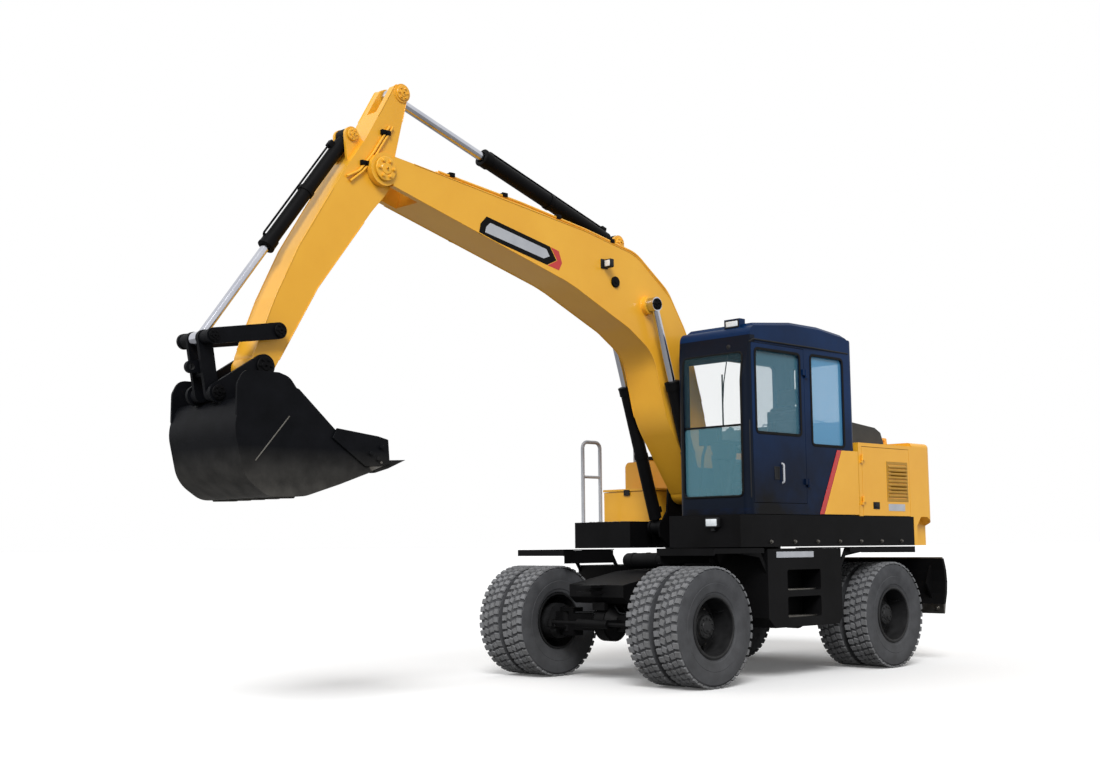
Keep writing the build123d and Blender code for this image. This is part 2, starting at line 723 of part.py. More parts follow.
def mirror_post():
    """Upright bar on the tank with a rear-view mirror head."""
    x, y = TOOLBOX_REAR - 95, -DECK_HALF_WIDTH + 105
    bar = post(x, y, 16, TANK_TOP, TANK_TOP + 960)
    glass = [(y - 90, 2800), (y + 90, 2800), (y + 90, 3080), (y - 90, 3080)]
    head = from_front(glass, x + 8, x + 38, 40)
    return bar + head + block(x - 10, x + 15, y - 10, y + 10, 2900, 2960)


# ------------------------------------------------------------------------- cab


def rounded_box(inset):
    """Cab volume inset by a wall, round in plan and in side view."""
    x_low, x_high = CAB_REAR + inset, CAB_FRONT - inset
    y_low, y_high = CAB_RIGHT + inset, CAB_LEFT - inset
    plan = [(x_low, y_low), (x_high, y_low), (x_high, y_high), (x_low, y_high)]
    volume = from_above(plan, CAB_FLOOR, CAB_ROOF - inset, CAB_CORNER - inset * 0.8)
    top = CAB_ROOF - inset
    side = [(x_low, 1000), (x_high + 15, 1000), (x_high + 15, 2600), (x_high - 70, top), (x_low, top)]
    face = outline(side, CAB_BROW - inset)
    return volume & from_side(face, CAB_RIGHT - 300, CAB_LEFT + 300)


def opening(name, depth):
    """Window solid, used to cut a wall and, thinner, as its glass."""
    far = (CAB_WALL - depth) / 2
    left = CAB_LEFT - CAB_WALL + far
    right = CAB_RIGHT + far
    if name == "door_glass":
        return from_side([(300, 2230), (985, 2230), (985, 3000), (300, 3000)], left, left + depth, 50)
    if name == "left_glass":
        return from_side([(-400, 2150), (130, 2150), (130, 3010), (-400, 3010)], left, left + depth, 50)
    if name == "right_glass":
        return from_side([(-380, 1950), (980, 1950), (980, 3010), (-380, 3010)], right, right + depth, 50)
    if name == "rear_glass":
        right, left = CAB_RIGHT + 105, CAB_LEFT - 105
        face = [(right, 2330), (left, 2330), (left, 3010), (right, 3010)]
        return from_front(face, CAB_REAR + far, CAB_REAR + far + depth, 50)
    right, left = CAB_RIGHT + 75, CAB_LEFT - 75
    face = [(right, 1660), (left, 1660), (left, 2960), (right, 2960)]
    return from_front(face, CAB_FRONT - CAB_WALL + far - 10, CAB_FRONT - CAB_WALL + far + depth, 50)


FIXED_GLASS = ("left_glass", "right_glass", "rear_glass", "front_glass")


def cab_shell():
    """Cab walls and roof with every window cut."""
    shell = rounded_box(0) - rounded_box(CAB_WALL)
    for name in ("door_glass", *FIXED_GLASS):
        shell -= opening(name, CAB_WALL + 40)
    return shell


def cab_region(x_low, x_high, z_low, z_high, y_low=CAB_RIGHT - 100, y_high=CAB_LEFT + 100):
    """Block that takes a share of the cab, past its walls unless a side is given."""
    return block(x_low, x_high, y_low, y_high, z_low, z_high)


def roof_crown():
    """Raised roof skin that falls to both ends, with a hatch panel and the roof lamp's housing."""
    top = CAB_ROOF + ROOF_CROWN
    side = [
        (CAB_REAR + 35, CAB_ROOF - 10),
        (CAB_REAR + 140, top - 38),
        (CAB_REAR + 530, top),
        (CAB_REAR + 970, top),
        (CAB_FRONT - 165, top - 58),
        (CAB_FRONT - 130, CAB_ROOF - 10),
    ]
    right, left = CAB_RIGHT + 25, CAB_LEFT - 25
    crown = from_side(side, right, left)
    upper = crown.edges().filter_by(lambda edge: edge.center().Z > CAB_ROOF + 25)
    crown = chamfer(upper.filter_by(lambda edge: abs(edge.tangent_at(0).Y) < 0.5), 28)
    hatch = Pos(CAB_REAR + 750, CAB_MIDDLE_Y, top - 5) * RectangleRounded(360, left - right - 200, 60)
    crown += extrude(hatch, amount=20, taper=20)
    lamp_rear = CAB_FRONT - 190
    lamp = block(lamp_rear, lamp_rear + 80, CAB_LEFT - 330, CAB_LEFT - 150, CAB_ROOF - 10, CAB_ROOF + 80)
    return crown + lamp


def cab_parts():
    """Cab floor, roof and walls, parted at their seams, and the door leaf."""
    shell = cab_shell()
    seam = MOVING_CLEARANCE
    behind, ahead = CAB_REAR - 80, CAB_FRONT + 90
    rear_seam, front_seam = CAB_REAR + 80, CAB_FRONT - 130
    floor_top = CAB_FLOOR + 55
    roof_low = CAB_ROOF - 90
    door_side = CAB_LEFT - 115
    inside = rounded_box(0) & cab_region(behind, ahead, CAB_FLOOR - 95, floor_top)
    wall = shell & cab_region(behind, ahead, floor_top, roof_low)
    doorway = cab_region(DOOR_REAR - seam, DOOR_FRONT + seam, DOOR_BOTTOM - seam, DOOR_TOP + seam, door_side)
    door = shell & cab_region(DOOR_REAR, DOOR_FRONT, DOOR_BOTTOM, DOOR_TOP, door_side)
    wall -= doorway
    front = wall & cab_region(front_seam, ahead, floor_top, roof_low)
    rear = wall & cab_region(behind, rear_seam, floor_top, roof_low)
    left = wall & cab_region(rear_seam, front_seam, floor_top, roof_low, CAB_MIDDLE_Y)
    right = wall & cab_region(rear_seam, front_seam, floor_top, roof_low, CAB_RIGHT - 100, CAB_MIDDLE_Y)
    roof = rounded_box(0) & cab_region(behind, ahead, roof_low, CAB_ROOF)
    roof -= rounded_box(CAB_WALL)
    roof += roof_crown()
    pins, leaves = upright_hinge(CAB_DOOR_HINGE_X, (1750, 2780), 1)
    for pin in pins:
        left += pin
    for leaf in leaves:
        door += leaf
    for x in (CAB_REAR + 90, CAB_FRONT - 100):
        for y in (CAB_RIGHT + 85, CAB_LEFT - 85):
            inside += post(x, y, 55, DECK_TOP, CAB_FLOOR + 5)
    return {
        "cab_floor": inside,
        "cab_roof": roof,
        "cab_front": front,
        "cab_rear": rear,
        "cab_left": left,
        "cab_right": right,
        "cab_door": door,
    }


def seat():
    """Operator seat on its pedestal with arm consoles."""
    middle = CAB_MIDDLE_Y
    floor_top = CAB_FLOOR + 55
    solid = block(60, 440, middle - 160, middle + 160, floor_top, 1760)
    cushion = from_side([(0, 1760), (560, 1760), (560, 1880), (0, 1880)], middle - 240, middle + 240, 40)
    back = from_side([(-20, 1840), (110, 1840), (20, 2560), (-110, 2560)], middle - 220, middle + 220, 30)
    for y_low in (CAB_RIGHT + CAB_WALL + 5, CAB_LEFT - CAB_WALL - 105):
        y_high = y_low + 95
        console = from_side([(80, floor_top), (620, floor_top), (700, 2080), (80, 2040)], y_low, y_high, 30)
        inner, outer = min(y_low, middle - 160), max(y_high, middle + 160)
        solid += console + block(80, 440, inner, outer, floor_top, 1600)
    return solid + cushion + back


def steering_column():
    """Column and steering wheel ahead of the seat."""
    middle = CAB_MIDDLE_Y
    floor_top = CAB_FLOOR + 55
    column = along((940, floor_top), (800, 2130), middle, 38)
    ring_plane = Plane(origin=(800, middle, 2130), z_dir=(-0.235, 0, 0.972))
    ring = ring_plane * Torus(175, 14)
    spoke = ring_plane * Box(350, 36, 16)
    return (column & block(500, 1100, middle - 100, middle + 100, floor_top, 2300)) + ring + spoke


# --------------------------------------------------------- boom, arm and bucket


def boom():
    """Bent box boom with a forked tip, foot boss and cylinder bosses."""
    profile = [
        (4330, 4362),
        (2900, 4192),
        (2100, 4075),
        (1450, 3950),
        (960, 3600),
        (720, 3250),
        (300, 1830),
        (530, 1690),
        (1060, 2420),
        (1215, 3030),
        (1560, 3245),
        (2330, 3575),
        (4330, 4118),
    ]
    bend = [0, 1500, 1500, 560, 420, 900, 60, 60, 900, 400, 600, 2000, 0]
    face = make_face(FilletPolyline(*profile, radius=bend, close=True))
    solid = from_side(face, -BOOM_HALF_WIDTH, BOOM_HALF_WIDTH)
    solid += disc(BOOM_FOOT, 135, -BOOM_HALF_WIDTH, BOOM_HALF_WIDTH)
    solid += disc(BOOM_TIP, 135, -BOOM_HALF_WIDTH, BOOM_HALF_WIDTH)
    solid += disc(BOOM_CYLINDER_EYE, 85, -BOOM_CYLINDER_Y + 45, BOOM_CYLINDER_Y - 45)
    slot = ARM_HALF_WIDTH + SIDE_GAP
    solid -= disc(BOOM_TIP, 430, -slot, slot)
    solid -= disc(BOOM_FOOT, PIN_RADIUS + PIN_CLEARANCE, -300, 300)
    solid += disc(BOOM_TIP, PIN_RADIUS, -BOOM_HALF_WIDTH - 15, BOOM_HALF_WIDTH + 15)
    lug = strap(ARM_CYLINDER_BASE, (1620, 3900), 72, 130)
    for y_low in (-90, 62):
        solid += from_side(lug, y_low, y_low + 28)
    return solid + disc(ARM_CYLINDER_BASE, PIN_RADIUS, -100, 100)


def arm():
    """Tapered box arm with forked tail, pivot bores and bucket-cylinder lugs."""
    profile = [
        (4130, 4960),
        (4260, 5005),
        (4560, 4480),
        (4780, 4170),
        (5190, 3510),
        (5390, 3100),
        (5585, 2610),
        (5415, 2510),
        (5010, 3210),
        (4500, 3890),
        (4370, 4040),
        (4290, 4150),
        (4280, 4330),
    ]
    bend = [50, 50, 200, 200, 300, 300, 60, 60, 300, 100, 40, 60, 60]
    face = make_face(FilletPolyline(*profile, radius=bend, close=True))
    solid = from_side(face, -ARM_HALF_WIDTH, ARM_HALF_WIDTH)
    solid += disc(BUCKET_PIN, 95, -ARM_HALF_WIDTH, ARM_HALF_WIDTH)
    solid += disc(ROCKER_PIN, 85, -ARM_HALF_WIDTH, ARM_HALF_WIDTH)
    solid -= from_side([(4040, 4640), (4520, 4780), (4400, 5100), (3960, 5060)], -62, 62)
    solid += disc(ARM_CYLINDER_EYE, 78, 62, ARM_HALF_WIDTH + 10)
    solid += disc(ARM_CYLINDER_EYE, 78, -ARM_HALF_WIDTH - 10, -62)
    solid -= disc(BOOM_TIP, PIN_RADIUS + PIN_CLEARANCE, -300, 300)
    solid -= disc(BUCKET_PIN, PIN_RADIUS + PIN_CLEARANCE, -300, 300)
    solid -= disc(ROCKER_PIN, 35 + PIN_CLEARANCE, -300, 300)
    lug = strap(BUCKET_CYLINDER_BASE, (4600, 4330), 68, 110)
    for y_low in (-84, 58):
        solid += from_side(lug, y_low, y_low + 26)
    return solid + disc(BUCKET_CYLINDER_BASE, PIN_RADIUS, -92, 92)


def rocker():
    """Pair of rocker plates on a through pin, with stub pins for the bucket link."""
    plate = from_side(strap(ROCKER_PIN, ROCKER_END, 62, 58), 190, 215)
    plate += disc(ROCKER_END, 35, 60, 200)
    plate += disc(ROCKER_END, 52, 98, 195)
    return plate + other_side(plate) + disc(ROCKER_PIN, 35, -225, 225)


def bucket_link():
    """H-shaped link between the rocker and the bucket, with a lifting bore."""
    cheek = from_side(strap(ROCKER_END, LINK_PIN, 58, 55), 58, 90)
    cheek += disc(LINK_PIN, 55, 58, 125)
    cheek -= disc(ROCKER_END, 35 + PIN_CLEARANCE, 0, 300)
    middle = ((ROCKER_END[0] + LINK_PIN[0]) / 2, (ROCKER_END[1] + LINK_PIN[1]) / 2)
    bridge = from_side(strap((middle[0], middle[1] + 35), (middle[0], middle[1] - 60), 24, 24), -60, 60)
    hook = from_side(strap(middle, (middle[0] + 95, middle[1] - 10), 40, 45), -18, 18)
    hook -= disc((middle[0] + 95, middle[1] - 10), 24, -30, 30)
    return cheek + other_side(cheek) + bridge + hook


def bucket():
    """Rolled bucket with raised side plates, pin ears, cutting lip and teeth."""
    profile = [
        (4560, 1850),
        (5025, 1690),
        (5330, 1596),
        (5640, 1588),
        (5840, 1720),
        (5925, 2080),
        (5870, 2270),
        (5480, 2395),
        (5390, 2375),
        (5030, 2062),
        (4640, 2040),
    ]
    bend = [8, 500, 300, 200, 260, 300, 90, 60, 40, 90, 40]
    face = make_face(FilletPolyline(*profile, radius=bend, close=True))
    half = BUCKET_HALF_WIDTH
    shell = from_side(face, -half, half)
    hollow = offset(face, amount=-BUCKET_WALL, kind=Kind.INTERSECTION)
    rim = [(4612, 1866), (5000, 1985), (5120, 2060), (5420, 2310), (5300, 2800), (4300, 2300), (4350, 1965)]
    mouth = outline(rim)
    inner = half - SIDE_PLATE
    shell -= from_side(hollow, -inner, inner)
    shell -= from_side(mouth, -inner, inner)
    crest = [(5300, 2240), (5470, 2455), (5560, 2482), (5850, 2482), (5905, 2380), (5908, 2100), (5500, 2200)]
    crest_bend = [20, 120, 60, 90, 90, 60, 20]
    crest_face = make_face(FilletPolyline(*crest, radius=crest_bend, close=True))
    for y_low in (-half, inner):
        shell += from_side(crest_face, y_low, y_low + SIDE_PLATE)
    for y_low in (-170, 140):
        ear = from_side(strap(BUCKET_PIN, LINK_PIN, 90, 72), y_low, y_low + 30)
        root = [(5420, 2370), (5420, 2550), (5580, 2580), (5900, 2400), (5860, 2260), (5800, 2280)]
        ear += from_side(root, y_low, y_low + 30)
        shell += ear - from_side(hollow, -inner, inner)
    shell += disc(BUCKET_PIN, PIN_RADIUS, -178, 178)
    for y_low in (-half, -255, -35, 185, half - 70):
        tooth = [(4700, 1785), (4575, 1822), (4408, 1893), (4560, 1886), (4690, 1842)]
        shell += from_side(tooth, y_low, y_low + 70)
    return shell


# --------------------------------------------------------------------- nodes

def boom_cylinder_parts():
    """Left boom cylinder barrel and rod."""
    base, eye, y = BOOM_CYLINDER_BASE, BOOM_CYLINDER_EYE, BOOM_CYLINDER_Y
    tube = bored_barrel(base, eye, y, BOOM_BARREL, 1420, 38, PIN_RADIUS, BOOM_ROD)
    return tube, rod(base, eye, y, BOOM_ROD, 620, 68, 38)


def arm_cylinder_parts():
    """Arm cylinder barrel and rod."""
    base, eye = ARM_CYLINDER_BASE, ARM_CYLINDER_EYE
    tube = bored_barrel(base, eye, 0, 68, 1720, 55, PIN_RADIUS, ARM_ROD)
    return tube, rod(base, eye, 0, ARM_ROD, 800, 66, 50)


def bucket_cylinder_parts():
    """Bucket cylinder barrel and rod."""
    base, eye = BUCKET_CYLINDER_BASE, ROCKER_END
    tube = bored_barrel(base, eye, 0, 56, 1230, 50, PIN_RADIUS, BUCKET_ROD)
    return tube, rod(base, eye, 0, BUCKET_ROD, 960, 54, 45)


def blade_cylinder_parts():
    """Left blade cylinder barrel and rod."""
    base, eye, y = BLADE_CYLINDER_BASE, BLADE_CYLINDER_EYE, BLADE_CYLINDER_Y
    tube = bored_barrel(base, eye, y, 46, 340, 35, BLADE_PIN_RADIUS, BLADE_ROD)
    return tube, rod(base, eye, y, BLADE_ROD, 110, 42, 30)


def all_nodes():
    """Every node by name, as lists of solids."""
    nodes = {}
    for end, x in (("front", FRONT_AXLE_X), ("rear", REAR_AXLE_X)):
        left_tyres = tyre_pair(x)
        nodes[f"tyres_{end}_left"] = left_tyres
        nodes[f"tyres_{end}_right"] = [other_side(solid) for solid in left_tyres]
        nodes[f"wheel_{end}_left"] = [wheel(x)]
        nodes[f"wheel_{end}_right"] = [other_side(wheel(x))]
    pairs = {
        "knuckle": knuckle(),
        "bay_door": bay_door(),
    }
    for name, solid in pairs.items():
        nodes[f"{name}_left"] = [solid]
        nodes[f"{name}_right"] = [other_side(solid)]
    singles = {
        "chassis_frame": chassis_frame(),
        "turntable_lower": turntable_lower(),
        "front_axle": front_axle(),
        "rear_axle": rear_axle(),
        "driveline": driveline(),
        "steering_rod": steering_rod(),
        "dozer_blade": blade(),
        "blade_edge": blade_edge(),
        "turntable_upper": turntable_upper(),
        "upper_frame": upper_frame(),
        "counterweight": counterweight(),
        "engine_bay": engine_bay(),
        "engine": engine(),
        "hood": hood(),
        "fuel_tank": fuel_tank(),
        "centre_cover": centre_cover(),
        "toolbox": toolbox(),
        "toolbox_lid": toolbox_lid(),
        "handrail": handrail(),
        "mirror_post": mirror_post(),
        "operator_seat": seat(),
        "steering_column": steering_column(),
        "boom": boom(),
        "arm": arm(),
        "rocker": rocker(),
        "bucket_link": bucket_link(),
        "bucket": bucket(),
    }
    singles.update(cab_parts())
    for name, solid in singles.items():
        nodes[name] = [solid]
    nodes["fenders"] = fenders()
    nodes["step_boxes"] = [step_box(FENDER_TOP - FENDER_SHEET), other_side(step_box(STEP_TOP))]
    nodes["cab_glass"] = [opening(name, GLASS) for name in FIXED_GLASS]
    nodes["door_glass"] = [opening("door_glass", GLASS)]
    for name, parts in (("boom", boom_cylinder_parts()), ("blade", blade_cylinder_parts())):
        nodes[f"{name}_cylinder_barrels"] = both_sides(parts[0])
        nodes[f"{name}_cylinder_rods"] = both_sides(parts[1])
    for name, parts in (("arm", arm_cylinder_parts()), ("bucket", bucket_cylinder_parts())):
        nodes[f"{name}_cylinder_barrel"] = [parts[0]]
        nodes[f"{name}_cylinder_rod"] = [parts[1]]
    return nodes


NODES = all_nodes()
SOLIDS = [solid for parts in NODES.values() for part in parts for solid in part.solids()]
WHOLE = Compound(SOLIDS).bounding_box()
ORIGIN_X = (WHOLE.min.X + WHOLE.max.X) / 2
GROUND_Z = AXLE_Z - TYRE_RADIUS

for name, parts in NODES.items():
    solids = [solid for part in parts for solid in (Pos(-ORIGIN_X, 0, -GROUND_Z) * part).solids()]
    shape = solids[0] if len(solids) == 1 else Compound(solids)
    export_step(shape, f"parts/{name}.step")
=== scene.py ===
import logging
import math
from dataclasses import dataclass
from enum import Enum
from typing import Callable, Iterable, Iterator, Sequence

import bmesh
import bpy
from mathutils import Matrix, Vector


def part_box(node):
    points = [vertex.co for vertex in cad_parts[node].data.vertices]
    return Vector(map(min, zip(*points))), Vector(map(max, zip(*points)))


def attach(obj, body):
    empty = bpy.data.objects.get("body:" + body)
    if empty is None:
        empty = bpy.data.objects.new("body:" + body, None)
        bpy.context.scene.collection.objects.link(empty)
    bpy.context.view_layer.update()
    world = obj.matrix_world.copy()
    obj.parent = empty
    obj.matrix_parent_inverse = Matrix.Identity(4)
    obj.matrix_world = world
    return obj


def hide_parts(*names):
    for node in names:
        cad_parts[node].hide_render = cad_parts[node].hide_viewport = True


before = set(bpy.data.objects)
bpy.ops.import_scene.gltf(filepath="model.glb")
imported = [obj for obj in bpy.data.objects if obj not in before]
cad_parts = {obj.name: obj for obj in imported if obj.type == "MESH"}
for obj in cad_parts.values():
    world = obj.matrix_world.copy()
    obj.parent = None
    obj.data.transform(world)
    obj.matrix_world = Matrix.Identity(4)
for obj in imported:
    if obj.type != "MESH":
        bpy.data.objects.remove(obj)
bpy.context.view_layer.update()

LOG = logging.getLogger("excavator")
Point = tuple[float, float, float]
Corner = tuple[float, float]
Test = Callable[[Vector, Vector], bool]


class Start(Enum):
    """Primitives that a piece is begun from."""

    BLOCK = "block"
    ROUND = "round"
    POINT = "point"


class Part(Enum):
    """Kinds of mesh element that can be picked."""

    VERT = "VERT"
    EDGE = "EDGE"
    FACE = "FACE"


class Axis(Enum):
    """Machine axes, as unit vectors."""

    X = (1.0, 0.0, 0.0)
    Y = (0.0, 1.0, 0.0)
    Z = (0.0, 0.0, 1.0)


class Side(Enum):
    """Sides of the machine, as the sign of Y."""

    LEFT = 1
    RIGHT = -1

    @property
    def tag(self) -> str:
        """The side's name in lower case."""
        return self.name.lower()


# --------------------------------------------------------------------- materials


def linear(code: str) -> tuple[float, float, float, float]:
    """Turns an sRGB hex colour to linear values.

    Args:
        code: Six hex digits.

    Returns:
        Linear red, green, blue and an alpha of 1.
    """
    parts = [int(code[i : i + 2], 16) / 255 for i in (0, 2, 4)]
    red, green, blue = [v / 12.92 if v <= 0.04045 else ((v + 0.055) / 1.055) ** 2.4 for v in parts]
    return (red, green, blue, 1.0)


def add_node(
    tree: bpy.types.NodeTree, kind: str, settings: dict | None = None, links: dict | None = None
) -> bpy.types.Node:
    """Adds one shader node with its settings and its incoming links.

    Args:
        tree: Node tree that gets the node.
        kind: Blender's node type.
        settings: Attribute names, or input names or numbers, with their values.
        links: Input names or numbers with the output sockets that feed them.

    Returns:
        The new node.
    """
    node = tree.nodes.new(kind)
    for key, value in (settings or {}).items():
        if isinstance(key, str) and hasattr(node, key):
            setattr(node, key, value)
        else:
            node.inputs[key].default_value = value
    for key, socket in (links or {}).items():
        tree.links.new(socket, node.inputs[key])
    return node


@dataclass(frozen=True)
class Finish:
    """A surface finish with fine grain, broad tone changes and a second colour blended in low down.

    Sizes are in millimetres. grain is the size of the finest pattern, and cloud that of the broad one.
    slot is the name of the finish's material slot.
    """

    name: str
    slot: str
    colour: str
    shade: str
    roughness: float
    metallic: float = 0.0
    grain: float = 6.0
    cloud: float = 400.0
    bump: float = 0.05
    coat: float = 0.0
    coat_roughness: float = 0.12
    dust: float = 0.0
    dust_top: float = 1.6
    dust_colour: str = "77746E"
    rough_change: float = 0.1
    sheen: float = 0.0
    specular: float = 0.5
    streak: tuple[float, float, float] = (1.0, 1.0, 1.0)

    def build(self) -> bpy.types.Material:
        """Makes the material.

        Returns:
            A node material on Object coordinates.
        """
        material = bpy.data.materials.new(self.name)
        material.use_nodes = True
        tree = material.node_tree
        shader = tree.nodes["Principled BSDF"]
        shader.inputs["Metallic"].default_value = self.metallic
        shader.inputs["Coat Weight"].default_value = self.coat
        shader.inputs["Coat Roughness"].default_value = self.coat_roughness
        shader.inputs["Sheen Weight"].default_value = self.sheen
        shader.inputs["Specular IOR Level"].default_value = self.specular
        place = add_node(tree, "ShaderNodeTexCoord").outputs["Object"]
        stretched = add_node(tree, "ShaderNodeMapping", {"Scale": self.streak}, {"Vector": place}).outputs[0]
        grains = {"Scale": 1000 / self.grain, "Detail": 3.0}
        fine = add_node(tree, "ShaderNodeTexNoise", grains, {"Vector": stretched}).outputs[0]
        clouds = {"Scale": 1000 / self.cloud, "Detail": 5.0, "Roughness": 0.6}
        broad = add_node(tree, "ShaderNodeTexNoise", clouds, {"Vector": place}).outputs[0]
        middle = {"From Min": 0.3, "From Max": 0.7}
        tone = add_node(tree, "ShaderNodeMapRange", middle, {"Value": broad}).outputs[0]
        shades = {"data_type": "RGBA", 6: linear(self.colour), 7: linear(self.shade)}
        colour = add_node(tree, "ShaderNodeMix", shades, {0: tone}).outputs[2]
        if self.dust:
            colour = self.settle(tree, place, broad, colour)
        tree.links.new(colour, shader.inputs["Base Color"])
        roughness, change = self.roughness, self.rough_change
        span = {"To Min": roughness - change / 2, "To Max": roughness + change}
        rough = add_node(tree, "ShaderNodeMapRange", span, {"Value": fine}).outputs[0]
        tree.links.new(rough, shader.inputs["Roughness"])
        shape = {"Strength": self.bump, "Distance": self.grain / 1000}
        relief = add_node(tree, "ShaderNodeBump", shape, {"Height": fine}).outputs[0]
        tree.links.new(relief, shader.inputs["Normal"])
        return material

    def settle(
        self,
        tree: bpy.types.NodeTree,
        place: bpy.types.NodeSocket,
        broad: bpy.types.NodeSocket,
        colour: bpy.types.NodeSocket,
    ) -> bpy.types.NodeSocket:
        """Blends the dust colour into the low surfaces, in patches: road dust on most finishes, a near-black
        darkening on the cab.

        Args:
            tree: Node tree of the material.
            place: Object coordinates.
            broad: Broad noise.
            colour: Clean colour.

        Returns:
            The dusted colour.
        """
        height = add_node(tree, "ShaderNodeSeparateXYZ", None, {0: place}).outputs[2]
        fall = {"From Min": self.dust_top, "From Max": 0.0, "To Max": self.dust}
        low = add_node(tree, "ShaderNodeMapRange", fall, {"Value": height}).outputs[0]
        patch = add_node(tree, "ShaderNodeMath", {"operation": "MULTIPLY"}, {0: low, 1: broad}).outputs[0]
        dusty = {"data_type": "RGBA", 7: linear(self.dust_colour)}
        return add_node(tree, "ShaderNodeMix", dusty, {0: patch, 6: colour}).outputs[2]


@dataclass(frozen=True)
class Glass:
    """Tinted safety glass, thin enough to light the cab through it.

    ripple is the waves per metre of the float glass, and wave their height in metres.
    """

    name: str
    tint: str
    density: float
    slot: str = "window_glass"
    roughness: float = 0.03
    ior: float = 1.5
    ripple: float = 1.6
    wave: float = 0.02
    bump: float = 0.04

    def build(self) -> bpy.types.Material:
        """Makes the glass as a glossy tinted sheet that lets light through.

        Returns:
            A node material with a slight ripple.
        """
        material = bpy.data.materials.new(self.name)
        material.use_nodes = True
        tree = material.node_tree
        shader = tree.nodes["Principled BSDF"]
        shader.inputs["Base Color"].default_value = linear(self.tint)
        shader.inputs["Roughness"].default_value = self.roughness
        shader.inputs["IOR"].default_value = self.ior
        shader.inputs["Alpha"].default_value = self.density
        place = add_node(tree, "ShaderNodeTexCoord").outputs["Object"]
        noise = {"Scale": self.ripple, "Detail": 1.0}
        waves = add_node(tree, "ShaderNodeTexNoise", noise, {"Vector": place}).outputs[0]
        shape = {"Strength": self.bump, "Distance": self.wave}
        relief = add_node(tree, "ShaderNodeBump", shape, {"Height": waves}).outputs[0]
        tree.links.new(relief, shader.inputs["Normal"])
        return material


# Alkyd enamel sprayed on plate: slight orange peel under a clear gloss, a little deeper in the shade.
YELLOW = Finish(
    "alkyd_enamel_yellow", "machine_yellow", "F3B533", "EAA828", 0.36, grain=3.0, cloud=900, bump=0.03,
    coat=0.25, specular=0.35,
)
# Satin black chassis enamel: grey bloom where road dust sits.
BLACK = Finish(
    "satin_enamel_black", "frame_black", "070708", "0E0E10", 0.5, grain=4.0, cloud=350, dust=0.03,
    specular=0.07,
)
# Gloss blue-black enamel of the cab, darker towards the bottom: near-black blended in low down turns the
# lower panels nearly black.
CAB = Finish(
    "gloss_enamel_blue_black", "cab_black", "0A2C56", "082244", 0.34, grain=3.0, cloud=700, bump=0.02,
    coat=0.03, dust=4.4, dust_top=2.5, dust_colour="08080A", specular=0.08,
)
# The same enamel darkened to nearly black on the cab's front frame: painted shade standing in for the frame's
# darker reflection.
CAB_FRONT_PAINTED_SHADE = Finish(
    "gloss_enamel_black", "cab_black", "0A1424", "08101C", 0.34, grain=3.0, cloud=700, bump=0.02,
    coat=0.03, specular=0.08,
)
# Weathered tyre rubber: chalky grey bloom, rough.
RUBBER = Finish(
    "weathered_tyre_rubber", "tyre_rubber", "7E7F82", "666769", 0.9, grain=5.0, cloud=120, bump=0.25,
    dust=0.3, dust_top=1.1, specular=0.15,
)
# Rubber of the tyre walls and grooves: darker than the tread, partly because the road doesn't scuff it and
# partly painted shade, the machine's shadow on the walls and in the grooves.
UNSCUFFED_AND_SHADED_WALL = Finish(
    "tyre_wall_rubber", "tyre_rubber", "505154", "3F4043", 0.85, grain=4.0, cloud=140, bump=0.2,
    dust=0.15, dust_top=1.1, specular=0.15,
)
# Wheel enamel: brake dust in the dish.
RIM = Finish(
    "wheel_enamel_black", "rim_black", "0F1012", "1B1C1F", 0.5, grain=3.0, cloud=90, bump=0.06, dust=0.12,
    dust_top=1.2, specular=0.25,
)
# Hard chrome plate, ground and polished along the rod.
CHROME = Finish(
    "hard_chrome_plate", "rod_chrome", "C9CBD2", "B4B6C0", 0.14, 1.0, grain=2.0, cloud=300, bump=0.01
)
# Grey powder coat on bent tube.
RAIL = Finish(
    "grey_powder_coat", "rail_grey", "B9BCC2", "A8ABB2", 0.4, grain=1.5, cloud=200, bump=0.06, coat=0.1
)
# Bare ground steel, worn bright along the edge.
STEEL = Finish(
    "worn_bare_steel", "edge_steel", "7D7B77", "5A5650", 0.38, 1.0, grain=2.5, cloud=80, bump=0.12,
    streak=(1.0, 8.0, 1.0),
)
# Charcoal enamel of the hood, dulled by soot and dust.
HOOD = Finish(
    "sooty_enamel_charcoal", "frame_black", "2A2927", "383631", 0.55, grain=4.0, cloud=180, bump=0.08,
    specular=0.25,
)
# Cast iron under thin grey engine paint.
IRON = Finish(
    "painted_cast_iron", "engine_grey", "3A3C3F", "2C2E31", 0.6, grain=3.5, cloud=120, bump=0.2,
    specular=0.3,
)
# Injection-moulded black ABS with a leather-like grain.
TRIM = Finish(
    "grained_black_abs", "trim_black", "0D0E10", "151619", 0.58, grain=1.2, cloud=150, bump=0.2,
    specular=0.3,
)
# EPDM rubber seal: matt and soft.
SEAL = Finish(
    "epdm_seal_rubber", "trim_black", "060607", "0C0C0D", 0.75, grain=2.0, cloud=60, bump=0.08,
    specular=0.2,
)
# Scraped bucket paint over steel: dark, with grey dust rubbed into its belly.
DIGGER = Finish(
    "scuffed_enamel_on_steel", "frame_black", "07080B", "101115", 0.5, grain=5.0, cloud=160, bump=0.12,
    dust=3.4, dust_top=1.95, specular=0.07,
)
# Red enamel stripe.
RED = Finish(
    "signal_enamel_red", "machine_yellow", "C8201C", "B51A18", 0.32, grain=3.0, cloud=300, bump=0.02,
    coat=0.3,
)
# Ochre grille enamel: the body yellow darkened as painted shade behind the slats.
GRILLE_PAINTED_SHADE = Finish(
    "ochre_enamel_painted_shade", "machine_yellow", "B98A2A", "A67A22", 0.5, grain=3.0, cloud=120, bump=0.06
)
